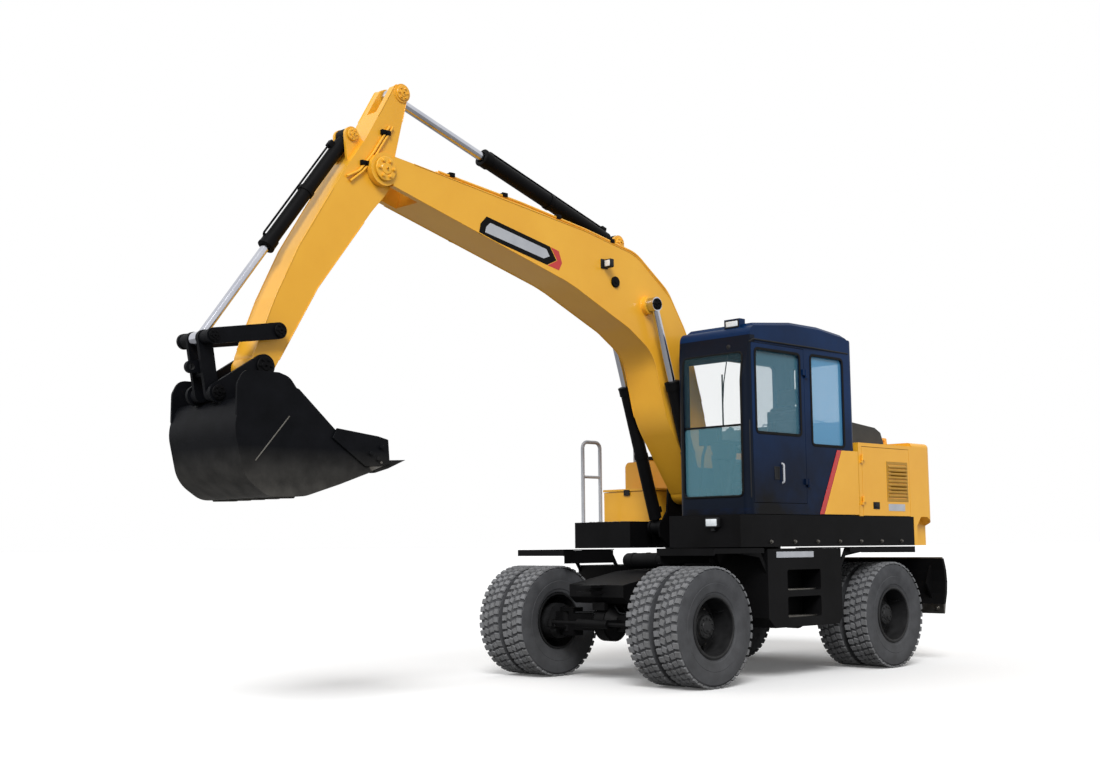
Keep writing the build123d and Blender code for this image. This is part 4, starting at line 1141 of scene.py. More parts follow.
@dataclass
class BodyPanels:
    """Painted panels of the upper body: side stripe panel, louvres, latches, lamps and caps."""

    wall: float = 1.2152
    sheet: float = 0.005
    stripe: tuple[Corner, Corner] = ((-0.268, 2.118), (0.045, 1.5))
    stripe_width: float = 0.068
    panel_step: float = 0.075
    door_lap: float = 0.05
    louvre_slats: int = 9
    louvre_frame: float = 0.028
    louvre_x: Corner = (0.035, 0.42)
    louvre_z: Corner = (1.64, 2.04)
    lamp_half: Corner = (0.075, 0.045)
    tail_lamp_z: float = 1.62
    reflector_z: float = 1.42
    reflector_bearing: float = 14
    strap_x: Corner = (-0.45, -0.05)
    strap_width: float = 0.04
    tread_y: float = -1.04

    def stripe_panel(self) -> None:
        """Yellow panel over the cab's lower rear corner, edged by a slanted red stripe."""
        (top_x, top), (foot_x, foot) = self.stripe
        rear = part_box("bay_door_left")[1][0] - DATUM.x + self.door_lap
        panel = [(top_x - self.panel_step, top), (foot_x - self.panel_step, foot), (rear, foot), (rear, top)]
        sheet = plate(on_side(self.wall, panel), (0, self.sheet, 0), 0.002)
        sheet.place("side_panel_left", "upper", YELLOW)
        band = [*self.stripe, (foot_x - self.stripe_width, foot), (top_x - self.stripe_width, top)]
        stripe = plate(on_side(self.wall, band), (0, self.sheet + 0.001, 0), 0.0015)
        stripe.place("side_stripe_left", "upper", RED)

    def tail_spot(self, bearing: float, z: float) -> Vector:
        """Finds a point on the counterweight's round back.

        Args:
            bearing: Angle off the rear about the swing centre, in degrees.
            z: Height.

        Returns:
            The point.
        """
        radius = DATUM.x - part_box("counterweight")[0][0]
        turn = math.radians(bearing)
        return at(-radius * math.cos(turn), radius * math.sin(turn), z)

    def louvre(self, side: Side) -> None:
        """Framed louvre grille over the slots of an engine door.

        Args:
            side: Side of the machine.
        """
        way, y = side.value, side.value * self.wall
        door_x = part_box(f"bay_door_{side.tag}")[0][0]
        x_low, x_high = (door_x + step for step in self.louvre_x)
        z_low, z_high = self.louvre_z
        start, *others = [(x, y, z) for x, z in square((x_low, z_low), (x_high, z_high))]
        surround = Draft.begin(Start.POINT, start).draw(others).fill().everything().inset(self.louvre_frame)
        bpy.ops.mesh.delete(type="FACE")
        surround.everything().push((0, way * 0.004, 0)).face_out().soften(0.001, 1)
        pitch = (z_high - z_low - 0.07) / self.louvre_slats
        root = (x_low + 0.024, y, z_low + 0.04)
        rise = [(0.012, 0.006), (0.014, 0.016), (0.003, pitch * 0.82), (0.0, pitch * 0.8)]
        slat = Draft.begin(Start.POINT, root)
        slat.draw([(root[0], y + way * out, root[2] + up) for out, up in rise]).fill()
        slat.everything().push((x_high - x_low - 0.048, 0, 0)).face_out()
        slat.repeat_along((0, 0, pitch), self.louvre_slats)
        # The louvre is dressed in the yellow darkened to ochre, painted shade.
        surround.join([slat]).place(f"louvre_{side.tag}", f"bay_door_{side.tag}", GRILLE_PAINTED_SHADE)

    def latches(self, side: Side) -> None:
        """Paddle latch of an engine door, and the blank plate beside it.

        Args:
            side: Side of the machine.
        """
        way, tag = side.value, side.tag
        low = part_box(f"bay_door_{tag}")[0][0]
        x, y = low + 0.62, way * self.wall
        pan = housing((x - 0.055, y - way * 0.002, 1.56), (x + 0.055, y + way * 0.006, 1.63), 0.004)
        pan.pick(Part.FACE, lambda centre, normal: normal.y * way > 0.9).inset(0.008, -0.004)
        paddle = housing((x - 0.04, y, 1.575), (x + 0.03, y + way * 0.012, 1.617), 0.004)
        lock = Draft.begin(Start.ROUND, (x + 0.045, y + way * 0.006, 1.595), (0.008, 0.012), Axis.Y, 16)
        pan.join([paddle, lock.soften(0.001, 1)]).place(f"door_latch_{tag}", f"bay_door_{tag}", TRIM)
        corners = [(along, y, z) for along, z in square((low + 0.1, 1.545), (low + 0.4, 1.615))]
        blank = plate(corners, (0, way * 0.002, 0), 0.0005)
        blank.place(f"blank_plate_{tag}", f"bay_door_{tag}", RAIL)

    def work_lamp(self) -> None:
        """Square work lamp on the deck's front edge, with a ribbed lens and a bracket."""
        place = Vector((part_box("upper_frame")[1][0], 0.92, 1.42))
        wide, tall = self.lamp_half
        shell = housing(place + Vector((0, -wide, -tall)), place + Vector((0.05, wide, tall)), 0.012)
        shell.pick(Part.FACE, lambda centre, normal: normal.x > 0.95).inset(0.01, -0.006)
        bracket = housing(place + Vector((-0.004, -0.02, -0.075)), place + Vector((0.03, 0.02, -0.04)), 0.003)
        shell.join([bracket]).place("work_lamp_deck_left", "upper", TRIM)
        lens = housing(place + Vector((0.036, -0.062, -0.033)), place + Vector((0.05, 0.062, 0.033)), 0.006)
        lens.place("work_lamp_lens_deck_left", "upper", LENS)

    def roof_lamp(self) -> None:
        """Bezel and lens of the lamp in the roof's housing."""
        x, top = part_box("cab_front")[1][0] - 0.11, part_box("cab_roof")[1][2] - 0.07
        bezel = housing((x - 0.02, 0.892, top - 0.038), (x + 0.008, 1.058, top + 0.038), 0.008)
        bezel.pick(Part.FACE, lambda centre, normal: normal.x > 0.95).inset(0.01, -0.006)
        bezel.place("roof_lamp_bezel", "upper", TRIM)
        lens = housing((x - 0.004, 0.905, top - 0.026), (x + 0.006, 1.045, top + 0.026), 0.005)
        lens.place("roof_lamp_lens", "upper", LENS)

    def tail_lamps(self, side: Side) -> None:
        """Round tail and turn lamps on the counterweight's rear corner.

        Args:
            side: Side of the machine.
        """
        profile = [(-0.03, 0.0), (-0.028, 0.03), (-0.02, 0.043), (-0.008, 0.045), (0.01, 0.045)]
        for index, (bearing, finish) in enumerate(((22.0, RED_LENS), (25.2, AMBER))):
            spot = self.tail_spot(bearing * side.value, self.tail_lamp_z)
            lens = lathe(profile, spot, Axis.X, 32)
            lens.everything().turn(-bearing * side.value, "Z", spot)
            lens.face_out().place(f"tail_lamp_{side.tag}_{index + 1}", "upper", finish)

    def reflectors(self) -> None:
        """Red reflectors low on the counterweight's back."""
        drafts = []
        for bearing in (-self.reflector_bearing, self.reflector_bearing):
            spot = self.tail_spot(bearing, self.reflector_z)
            low, high = Vector((-0.008, -0.05, -0.022)), Vector((0.01, 0.05, 0.022))
            pad = housing(spot + low, spot + high, 0.004, 2)
            drafts.append(pad.everything().turn(-bearing, "Z", spot))
        joined(drafts).place("tail_reflectors", "upper", RED_LENS)

    def filler_cap(self) -> None:
        """Turned fuel cap with finger ribs."""
        centre = at(-0.06, -1.0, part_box("fuel_tank")[1][2] - 0.012)
        profile = [(0.0, 0.058), (0.002, 0.062), (0.03, 0.062), (0.036, 0.056), (0.04, 0.02), (0.04, 0.0)]
        cap = lathe(profile, centre, Axis.Z, 40)
        low, high = Vector((0.058, -0.003, 0.004)), Vector((0.066, 0.003, 0.029))
        rib = housing(centre + low, centre + high, 0.002, 2)
        cap.join([rib.repeat_round(centre, Axis.Z, 16)]).place("fuel_cap", "upper", TRIM)

    def tank_straps(self) -> None:
        """Two clamping straps round the fuel tank's outer side, and the tread bars on its top."""
        low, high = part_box("fuel_tank")
        top, outer = high[2] - 0.035, low[1]
        bend = ((outer - 0.004, 1.47), (outer - 0.004, top - 0.066), (outer + 0.062, top + 0.004))
        straps = []
        for x in self.strap_x:
            path = rounded_path(across(at(x, 0, 0).x, (*bend, (outer + 0.3, top + 0.004))), 0.07, 5)
            strap = Draft.begin(Start.POINT, path[0]).draw(path[1:])
            straps.append(strap.everything().push((self.strap_width, 0, 0)).everything())
        joined(straps).place("tank_straps", "upper", BLACK)
        bar = housing(at(0.04, -1.1, top - 0.001), at(0.05, -0.9, top + 0.006), 0.0015, 2)
        bar.repeat_along((0.026, 0, 0), 3).place("tank_tread_bars", "upper", STEEL)

    def hood_fittings(self) -> None:
        """Grab handles and vent bars on the engine hood."""
        low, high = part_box("hood")
        top, x_mid = high[2], (low[0] + high[0]) / 2
        start, end, foot, grip = x_mid - 0.09, x_mid + 0.09, top - 0.004, top + 0.045
        for index, y in enumerate((low[1] + 0.55, high[1] - 0.55)):
            path = [(start, y, foot), (start, y, grip), (end, y, grip), (end, y, foot)]
            handle = pipe(path, 0.008, 0.02, 2)
            handle.place(f"hood_handle_{index + 1}", "hood", RAIL)
        bars = []
        for x in (x_mid - 0.2, x_mid + 0.11):
            bar = housing((x, low[1] + 0.35, top - 0.002), (x + 0.012, high[1] - 0.35, top + 0.008), 0.002, 2)
            bars.append(bar.repeat_along((0.026, 0, 0), 4))
        joined(bars).place("hood_vent_bars", "hood", BLACK)

    def exhaust(self) -> None:
        """Bent exhaust outlet through the body's rear right corner."""
        root = at(-1.3, -0.98, 2.19)
        stack = pipe([root, root + Vector((0, 0, 0.26)), root + Vector((-0.12, 0, 0.33))], 0.036, 0.09, 5)
        profile = [(0.0, 0.07), (0.012, 0.07), (0.02, 0.055), (0.06, 0.042), (0.064, 0.036)]
        collar = lathe(profile, root + Vector((0, 0, 0.015)), Axis.Z, 32)
        stack.join([collar]).place("exhaust_outlet", "upper", IRON)

    def mirror_glass(self) -> None:
        """Mirror sheet on the rear face of the mirror head."""
        low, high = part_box("mirror_post")
        y_mid, half = (low[1] + high[1]) / 2, 0.078
        corners = across(high[0] - 0.0305, square((y_mid - half, 2.815), (y_mid + half, 3.065)))
        outline = rounded_path(corners, 0.03, 4, closed=True)
        plate(outline, (-0.002, 0, 0), 0.0005).place("mirror_glass", "upper", CHROME)

    def toolbox_latch(self) -> None:
        """Pull lip on the toolbox lid's front."""
        low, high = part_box("toolbox_lid")
        front, y_mid = high[0], (low[1] + high[1]) / 2
        foot, top = low[2] - 0.045, low[2] + 0.014
        lip = housing((front - 0.006, y_mid - 0.04, foot), (front + 0.006, y_mid + 0.04, top), 0.003)
        lip.pick(Part.FACE, lambda centre, normal: normal.x > 0.95).inset(0.01, -0.003)
        lip.place("toolbox_latch", "toolbox_lid", TRIM)

    def deck_fittings(self) -> None:
        """Access bolts along the deck skirt and tread bars ahead of the toolbox."""
        row = hex_bolt(at(-1.35, self.wall - 0.0005, 1.245), Axis.Y, 0.026).repeat_along((0.36, 0, 0), 7)
        row.twin().place("deck_skirt_bolts", "upper", STEEL)
        first = (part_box("toolbox")[1][0] + 0.055, self.tread_y, 1.4625)
        rib = Draft.begin(Start.BLOCK, first, (0.012, 0.1, 0.005)).everything().turn(35, "Z", first)
        rib.soften(0.0015, 1).repeat_along((0.045, 0, 0), 6).repeat_along((0, 0.11, 0), 5)
        rib.place("deck_tread_bars", "upper", STEEL)

    def build(self) -> None:
        """Builds the panels and fittings."""
        self.stripe_panel()
        for side in Side:
            self.louvre(side)
            self.latches(side)
            self.tail_lamps(side)
        self.work_lamp()
        self.roof_lamp()
        self.filler_cap()
        self.tank_straps()
        self.reflectors()
        self.hood_fittings()
        self.exhaust()
        self.mirror_glass()
        self.toolbox_latch()
        self.deck_fittings()


@dataclass
class CabFittings:
    """Cab trim and interior: window seals, glass, handles, wiper, controls and seat cushions."""

    seal: float = 0.026
    seal_step: float = 0.009
    seal_corner: float = 0.06
    pane: float = 0.006
    pane_corner: float = 0.05
    screen_split: float = 2.3
    handle_x: float = 0.615
    stick_y: float = 0.32
    console: float = 0.095
    voxel: float = 0.008
    pressure: float = 4.0
    cloth_steps: int = 20
    puff_cap: float = 0.022
    seam_depth: float = 0.007
    gaiter: tuple[Corner, ...] = (
        (0.0, 0.05), (0.015, 0.052), (0.022, 0.04), (0.034, 0.043), (0.042, 0.03), (0.054, 0.033),
        (0.065, 0.016), (0.16, 0.012),
    )
    grip: tuple[Corner, ...] = (
        (0.15, 0.0), (0.15, 0.02), (0.19, 0.024), (0.24, 0.021), (0.27, 0.026), (0.29, 0.02), (0.295, 0.0)
    )

    def window_seal(self, name: str, body: str, corners: Sequence[Vector], step: Vector) -> None:
        """Models a flat window seal.

        Args:
            name: Its name.
            body: Body that carries it.
            corners: Its outer corners.
            step: Thickness, as a step outwards.
        """
        path = rounded_path(corners, self.seal_corner, 5, closed=True)
        seal = Draft.begin(Start.POINT, path[0]).draw(path[1:]).fill().everything().inset(self.seal)
        bpy.ops.mesh.delete(type="FACE")
        seal.everything().push(step).face_out().soften(0.003, 1).place(name, body, SEAL)

    def seals(self) -> None:
        """Rubber seals round the windows of the door, the left wall, the front and the rear."""
        (rear, right, _), (_, left, _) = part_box("cab_roof")
        front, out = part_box("cab_front")[1][0], Vector((0, self.seal_step, 0))
        for name, body, low, high in (
            ("door_window_seal", "cab_door", (0.288, 2.218), (0.997, 3.012)),
            ("left_window_seal", "upper", (-0.412, 2.138), (0.142, 3.022)),
        ):
            self.window_seal(name, body, on_side(left - 0.003, square(low, high)), out)
        near, far = (
            [Vector((front, y, 1.655)), Vector((front, y, 2.7)), Vector((front - 0.034, y, 2.962))]
            for y in (right + 0.068, left - 0.068)
        )
        pipe(near + far[::-1], 0.011, 0.05, 2, closed=True).place("front_window_seal", "upper", SEAL, 60)
        corners = across(rear + 0.003, square((right + 0.093, 2.318), (left - 0.093, 3.022)))
        self.window_seal("rear_window_seal", "upper", corners, Vector((-self.seal_step, 0, 0)))

    def screen(self, x: float, inset: float, low: float, high: float) -> list[Vector]:
        """Finds the corners of a pane across the cab, inset from its sides, between two heights."""
        near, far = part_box("cab_roof")
        return across(x, square((near[1] + inset, low), (far[1] - inset, high)))

    def panes(self) -> None:
        """Fixed glass: quarter, right, windscreen and rear panes, each with its own tint."""
        low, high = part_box("cab_roof")
        front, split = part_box("cab_front")[1][0], self.screen_split
        sideways, ahead = (0, self.pane, 0), (self.pane, 0, 0)
        panes = {
            "quarter": (on_side(high[1] - 0.025, square((-0.4, 2.15), (0.13, 3.01))), sideways, QUARTER),
            "right": (on_side(low[1] + 0.025, square((-0.38, 1.95), (0.98, 3.01))), sideways, FAR_GLASS),
            "windscreen": (self.screen(front - 0.03, 0.075, split, 2.96), ahead, SCREEN),
            # The lower pane's denser teal tint is painted reflection.
            "lower_screen": (self.screen(front - 0.03, 0.075, 1.66, split), ahead, LOWER_SCREEN_PAINTED_REFLECTION),
            "rear": (self.screen(low[0] + 0.024, 0.105, 2.33, 3.01), ahead, FAR_GLASS),
        }
        for name, (corners, step, finish) in panes.items():
            sheet = plate(rounded_path(corners, self.pane_corner, 5, closed=True), step, 0.0015)
            piece = sheet.place(f"{name}_glass", "upper", finish)
            if name == "windscreen":
                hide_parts("cab_glass")
        right, left = low[1] + 0.07, high[1] - 0.07
        strip = housing((front - 0.034, right, split - 0.009), (front - 0.018, left, split + 0.009), 0.004, 2)
        strip.place("screen_joint_strip", "upper", SEAL)

    def door_handle(self) -> None:
        """Bright grab handle on the door with its lock pan."""
        x, y = self.handle_x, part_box("cab_roof")[1][1]
        foot, grip = y - 0.004, y + 0.0205
        path = [at(x, foot, 1.78), at(x, grip, 1.79), at(x, grip, 1.95), at(x, foot, 1.96)]
        pipe(path, 0.0095, 0.02, 3).place("door_handle", "cab_door", RAIL)
        pan = housing(at(x + 0.04, y - 0.003, 1.81), at(x + 0.12, y + 0.006, 1.93), 0.004)
        pan.pick(Part.FACE, lambda centre, normal: normal.y > 0.9).inset(0.012, -0.005)
        pan.place("door_lock_pan", "cab_door", TRIM)

    def grab_rail(self) -> None:
        """Grab rail on the cab's front left post."""
        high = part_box("cab_roof")[1]
        x, y = high[0] - 0.035, high[1] - 0.035
        path = [(x, y, 1.62), (x + 0.05, y + 0.02, 1.63), (x + 0.05, y + 0.02, 2.35), (x, y, 2.36)]
        pipe(path, 0.011, 0.03, 3).place("cab_grab_rail", "upper", TRIM)

    def wiper(self) -> None:
        """Front wiper: motor boss, arm and blade."""
        low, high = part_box("cab_roof")
        x, y = high[0] + 0.006, (low[1] + high[1]) / 2
        profile = [(0.0, 0.028), (0.012, 0.026), (0.018, 0.016), (0.022, 0.0)]
        boss = lathe(profile, Vector((x - 0.006, y + 0.18, 3.02)), Axis.X, 24)
        path = [(x + 0.006, y + 0.18, 3.02), (x + 0.012, y + 0.12, 2.7), (x + 0.004, y + 0.1, 2.52)]
        blade = housing((x - 0.006, y + 0.085, 2.3), (x + 0.004, y + 0.099, 2.78), 0.003, 2)
        boss.join([pipe(path, 0.005, 0.05, 2), blade]).place("front_wiper", "upper", TRIM)

    def puff(self, pad: Draft, way: Vector) -> None:
        """Blows a pad up as cloth, flat where it rests, and keeps the shape that it takes.

        Args:
            pad: Draft with the pad's block.
            way: Direction in which its crown stands out.
        """
        clear_selection()
        bpy.context.view_layer.objects.active = pad.object
        pad.object.data.remesh_voxel_size = self.voxel
        bpy.ops.object.voxel_remesh()
        cloth = pad.object.modifiers.new("cloth", "CLOTH")
        cloth.settings.use_pressure = True
        cloth.settings.uniform_pressure_force = self.pressure
        cloth.settings.effector_weights.gravity = 0.0
        for step in range(1, self.cloth_steps + 1):
            bpy.context.scene.frame_set(step)
        shaped = pad.object.evaluated_get(bpy.context.evaluated_depsgraph_get()).data
        moves = [after.co - before.co for after, before in zip(shaped.vertices, pad.object.data.vertices)]
        pad.object.modifiers.remove(cloth)
        bpy.context.scene.frame_set(1)
        for vert, move in zip(pad.object.data.vertices, moves):
            move -= way * min(0.0, move.dot(way))
            if move.length > self.puff_cap:
                move = move.normalized() * self.puff_cap
            vert.co += move

    def cushion(self, side: Sequence[Corner], half: float, middle: float, seams: int, name: str) -> None:
        """Padded cushion: cloth blown up over its block, with channels sewn across it.

        Args:
            side: Corners of its side view: the resting face's two, then the crowned face's two.
            half: Half its width.
            middle: Its middle across the cab.
            seams: Channels sewn across it.
            name: Its name.
        """
        corners = on_side(middle - half, side)
        pad = plate(corners, (0, 2 * half, 0), 0.012)
        along = (corners[1] - corners[0]).normalized()
        way = Vector((-along.z, 0, along.x))
        if way.dot(corners[2] - corners[1]) < 0:
            way = -way
        self.puff(pad, way)
        face = (corners[3] - corners[0]).dot(way) * 0.55
        length = (corners[1] - corners[0]).length
        for index in range(seams):
            reach = length * (index + 1) / (seams + 1)
            pad.pick(
                Part.VERT,
                lambda point, normal, reach=reach: (point - corners[0]).dot(way) > face
                and abs((point - corners[0]).dot(along) - reach) < self.voxel * 0.8
                and abs(point.y - middle) < half * 0.92,
            ).move(way * -self.seam_depth)
        pad.smooth_rounds(1)
        piece = pad.place(name, "upper", CLOTH, 80)

    def seat(self) -> None:
        """Sprung driver's seat: base, bellows, pan, back shell, arm consoles and padded cushions."""
        low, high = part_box("operator_seat")
        y, floor = (low[1] + high[1]) / 2, low[2]
        base = housing(at(0.06, y - 0.17, floor), at(0.46, y + 0.17, floor + 0.035), 0.008)
        fold = housing(at(0.08, y - 0.15, floor + 0.034), at(0.44, y + 0.15, floor + 0.064), 0.013)
        fold.repeat_along((0, 0, 0.0262), 6)
        pan = housing(at(0.0, y - 0.235, 1.766), at(0.55, y + 0.235, 1.806), 0.014)
        shell = [(-0.018, 1.8), (0.03, 1.8), (0.022, 1.88), (-0.062, 2.555), (-0.108, 2.555), (-0.03, 1.86)]
        back = plate(on_side(y - 0.215, shell), (0, 0.43, 0), 0.012)
        posts = pipe(on_side(y - 0.06, [(-0.083, 2.54), (-0.092, 2.62)]), 0.008, 0, 2)
        posts.repeat_along((0, 0.12, 0), 2)
        piece = base.join([fold, pan, back, posts]).place("seat_frame", "upper", TRIM)
        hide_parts("operator_seat")
        width = self.console
        box = [(0.08, floor), (0.62, floor), (0.70, 2.078), (0.53, 2.07), (0.515, 1.998), (0.08, 1.986)]
        consoles = [plate(on_side(edge, box), (0, width, 0), 0.01) for edge in (low[1], high[1] - width)]
        joined(consoles).place("seat_consoles", "upper", TRIM)
        self.cushion([(0.0, 1.81), (0.555, 1.81), (0.555, 1.868), (0.0, 1.868)], 0.228, y, 3, "seat_cushion")
        rest = [(0.04, 1.895), (-0.036, 2.53), (0.02, 2.535), (0.096, 1.9)]
        self.cushion(rest, 0.208, y, 4, "seat_back_cushion")
        head = [(-0.1, 2.57), (-0.12, 2.72), (-0.06, 2.728), (-0.04, 2.578)]
        self.cushion(head, 0.12, y, 0, "seat_headrest")
        arm = [(0.09, 1.992), (0.505, 2.002), (0.505, 2.032), (0.09, 2.022)]
        for tag, middle in (("right", low[1] + width / 2), ("left", high[1] - width / 2)):
            self.cushion(arm, width * 0.42, middle, 0, f"armrest_{tag}")

    def controls(self) -> None:
        """Joysticks with gaiters, wheel hub, pedals, monitor and dash cowl."""
        low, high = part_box("cab_roof")
        y = (low[1] + high[1]) / 2
        for side in Side:
            base = at(0.6, y + side.value * self.stick_y, 2.06)
            stick = lathe(self.gaiter, base, Axis.Z, 20).join([lathe(self.grip, base, Axis.Z, 20)])
            stick.place(f"joystick_{side.tag}", "upper", TRIM)
        housing(at(0.93, y - 0.1, 2.0), at(1.0, y + 0.1, 2.16), 0.02).place("dash_cowl", "upper", TRIM)
        screen = housing(at(0.86, low[1] + 0.07, 2.15), at(0.89, low[1] + 0.29, 2.33), 0.012)
        screen.pick(Part.FACE, lambda centre, normal: normal.x < -0.95).inset(0.014, -0.003)
        path = [at(0.89, low[1] + 0.18, 2.2), at(0.96, low[1] + 0.18, 2.05), at(0.96, low[1] + 0.12, 1.58)]
        screen.join([pipe(path, 0.014, 0.05, 2)]).place("monitor", "upper", TRIM)
        pedal = housing(at(0.9, y - 0.2, 1.6), at(0.92, y - 0.12, 1.76), 0.006)
        pedal.everything().turn(-25, "Y", at(0.91, y - 0.16, 1.6))
        pedal.repeat_along((0, 0.32, 0), 2).place("foot_pedals", "upper", TRIM)
        hub = lathe([(0.0, 0.05), (0.02, 0.052), (0.035, 0.036), (0.038, 0.0)], at(0.8, y, 2.135), Axis.Z, 28)
        hub.place("steering_wheel_hub", "upper", TRIM)

    def rain_gutter(self) -> None:
        """Rain gutter over the door."""
        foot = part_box("cab_roof")[1][1] - 0.002
        rim = foot + 0.012
        gutter = [at(-0.5, foot, 3.075), at(0.1, rim, 3.078), at(1.02, rim, 3.078), at(1.06, foot, 3.05)]
        pipe(gutter, 0.008, 0.05, 2).place("rain_gutter", "upper", TRIM)

    def build(self) -> None:
        """Builds the cab's trim and interior."""
        self.seals()
        self.panes()
        self.door_handle()
        self.grab_rail()
        self.wiper()
        self.seat()
        self.controls()
        self.rain_gutter()


class Pin(Enum):
    """Pivots of the working gear in side view: place from the swing centre, and height."""

    BOOM_FOOT = (0.42, 1.76)
    BOOM_TIP = (4.42, 4.24)
    BOOM_BASE = (0.64, 1.4)
    BOOM_EYE = (1.31, 3.48)
    ARM_BASE = (1.56, 4.07)
    ARM_EYE = (4.2, 4.93)
    BUCKET_BASE = (4.66, 4.5)
    ROCKER_END = (5.95, 2.74)
    ROCKER = (5.4, 2.83)
    BUCKET = (5.5, 2.56)
    LINK = (5.88, 2.34)

    def spot(self, y: float = 0.0) -> Vector:
        """Finds the point of the pivot's axis at one Y."""
        return at(self.value[0], y, self.value[1])


@dataclass(frozen=True)
class PinCaps:
    """End caps of one pivot on both sides, each with a ring of bolts and a grease nipple.

    reach is the Y of the outer face that carries the left cap.
    """

    pin: Pin
    name: str
    body: str
    finish: Finish
    reach: float
    radius: float

    def build(self) -> None:
        """Builds both caps as one piece."""
        centre, radius = self.pin.spot(self.reach), self.radius
        profile = [(-0.001, radius), (0.008, radius), (0.012, radius * 0.94), (0.012, radius * 0.5)]
        profile += [(0.018, radius * 0.44), (0.018, 0.0)]
        cap = lathe(profile, centre, Axis.Y, 40)
        bolt = hex_bolt(centre + Vector((radius * 0.7, 0.012, 0)), Axis.Y, radius * 0.24)
        tip = [(0.017, radius * 0.1), (0.03, radius * 0.09), (0.034, radius * 0.05), (0.038, 0.0)]
        nipple = lathe(tip, centre, Axis.Y, 12)
        cap.join([bolt.repeat_round(centre, Axis.Y, 6), nipple])
        cap.twin().place(self.name, self.body, self.finish)


@dataclass(frozen=True)
class CylinderFittings:
    """Gland nut, band, port and feed line on the barrel of one cylinder, or of a pair of them.

    middles holds the Y of each cylinder, radius is the barrel's and length is from its base pin to its gland.
    """

    tag: str
    body: str
    base: Pin
    eye: Pin
    middles: tuple[float, ...]
    radius: float
    length: float

    def build(self) -> None:
        """Builds the fittings upright over the base pin and leans them over to the eye."""
        radius, length, half = self.radius, self.length, self.length * 0.5
        way = (self.eye.spot() - self.base.spot()).normalized()
        lean = math.degrees(math.atan2(way.x, way.z))
        nut = [(length - 0.004, radius + 0.012), (length + 0.012, radius + 0.012)]
        nut += [(length + 0.018, radius), (length + 0.018, radius * 0.72)]
        strap = [(half, radius + 0.002), (half, radius + 0.008)]
        strap += [(half + 0.04, radius + 0.008), (half + 0.04, radius + 0.002)]
        feed = [(-radius - 0.02, 0.17), (-radius - 0.022, length - 0.06), (-radius + 0.01, length - 0.03)]
        drafts = []
        for y in self.middles:
            root = self.base.spot(y)
            gland, band = (lathe(profile, root, Axis.Z, 32) for profile in (nut, strap))
            low, high = Vector((-radius - 0.035, -0.025, 0.13)), Vector((-radius + 0.01, 0.025, 0.19))
            port = housing(root + low, root + high, 0.006, 2)
            line = pipe([root + Vector((x, 0, z)) for x, z in feed], 0.009, 0.03, 2)
            drafts.append(gland.join([band, port, line]).everything().turn(-lean, "Y", root))
        joined(drafts).place(f"{self.tag}_cylinder_fittings", self.body, BLACK)


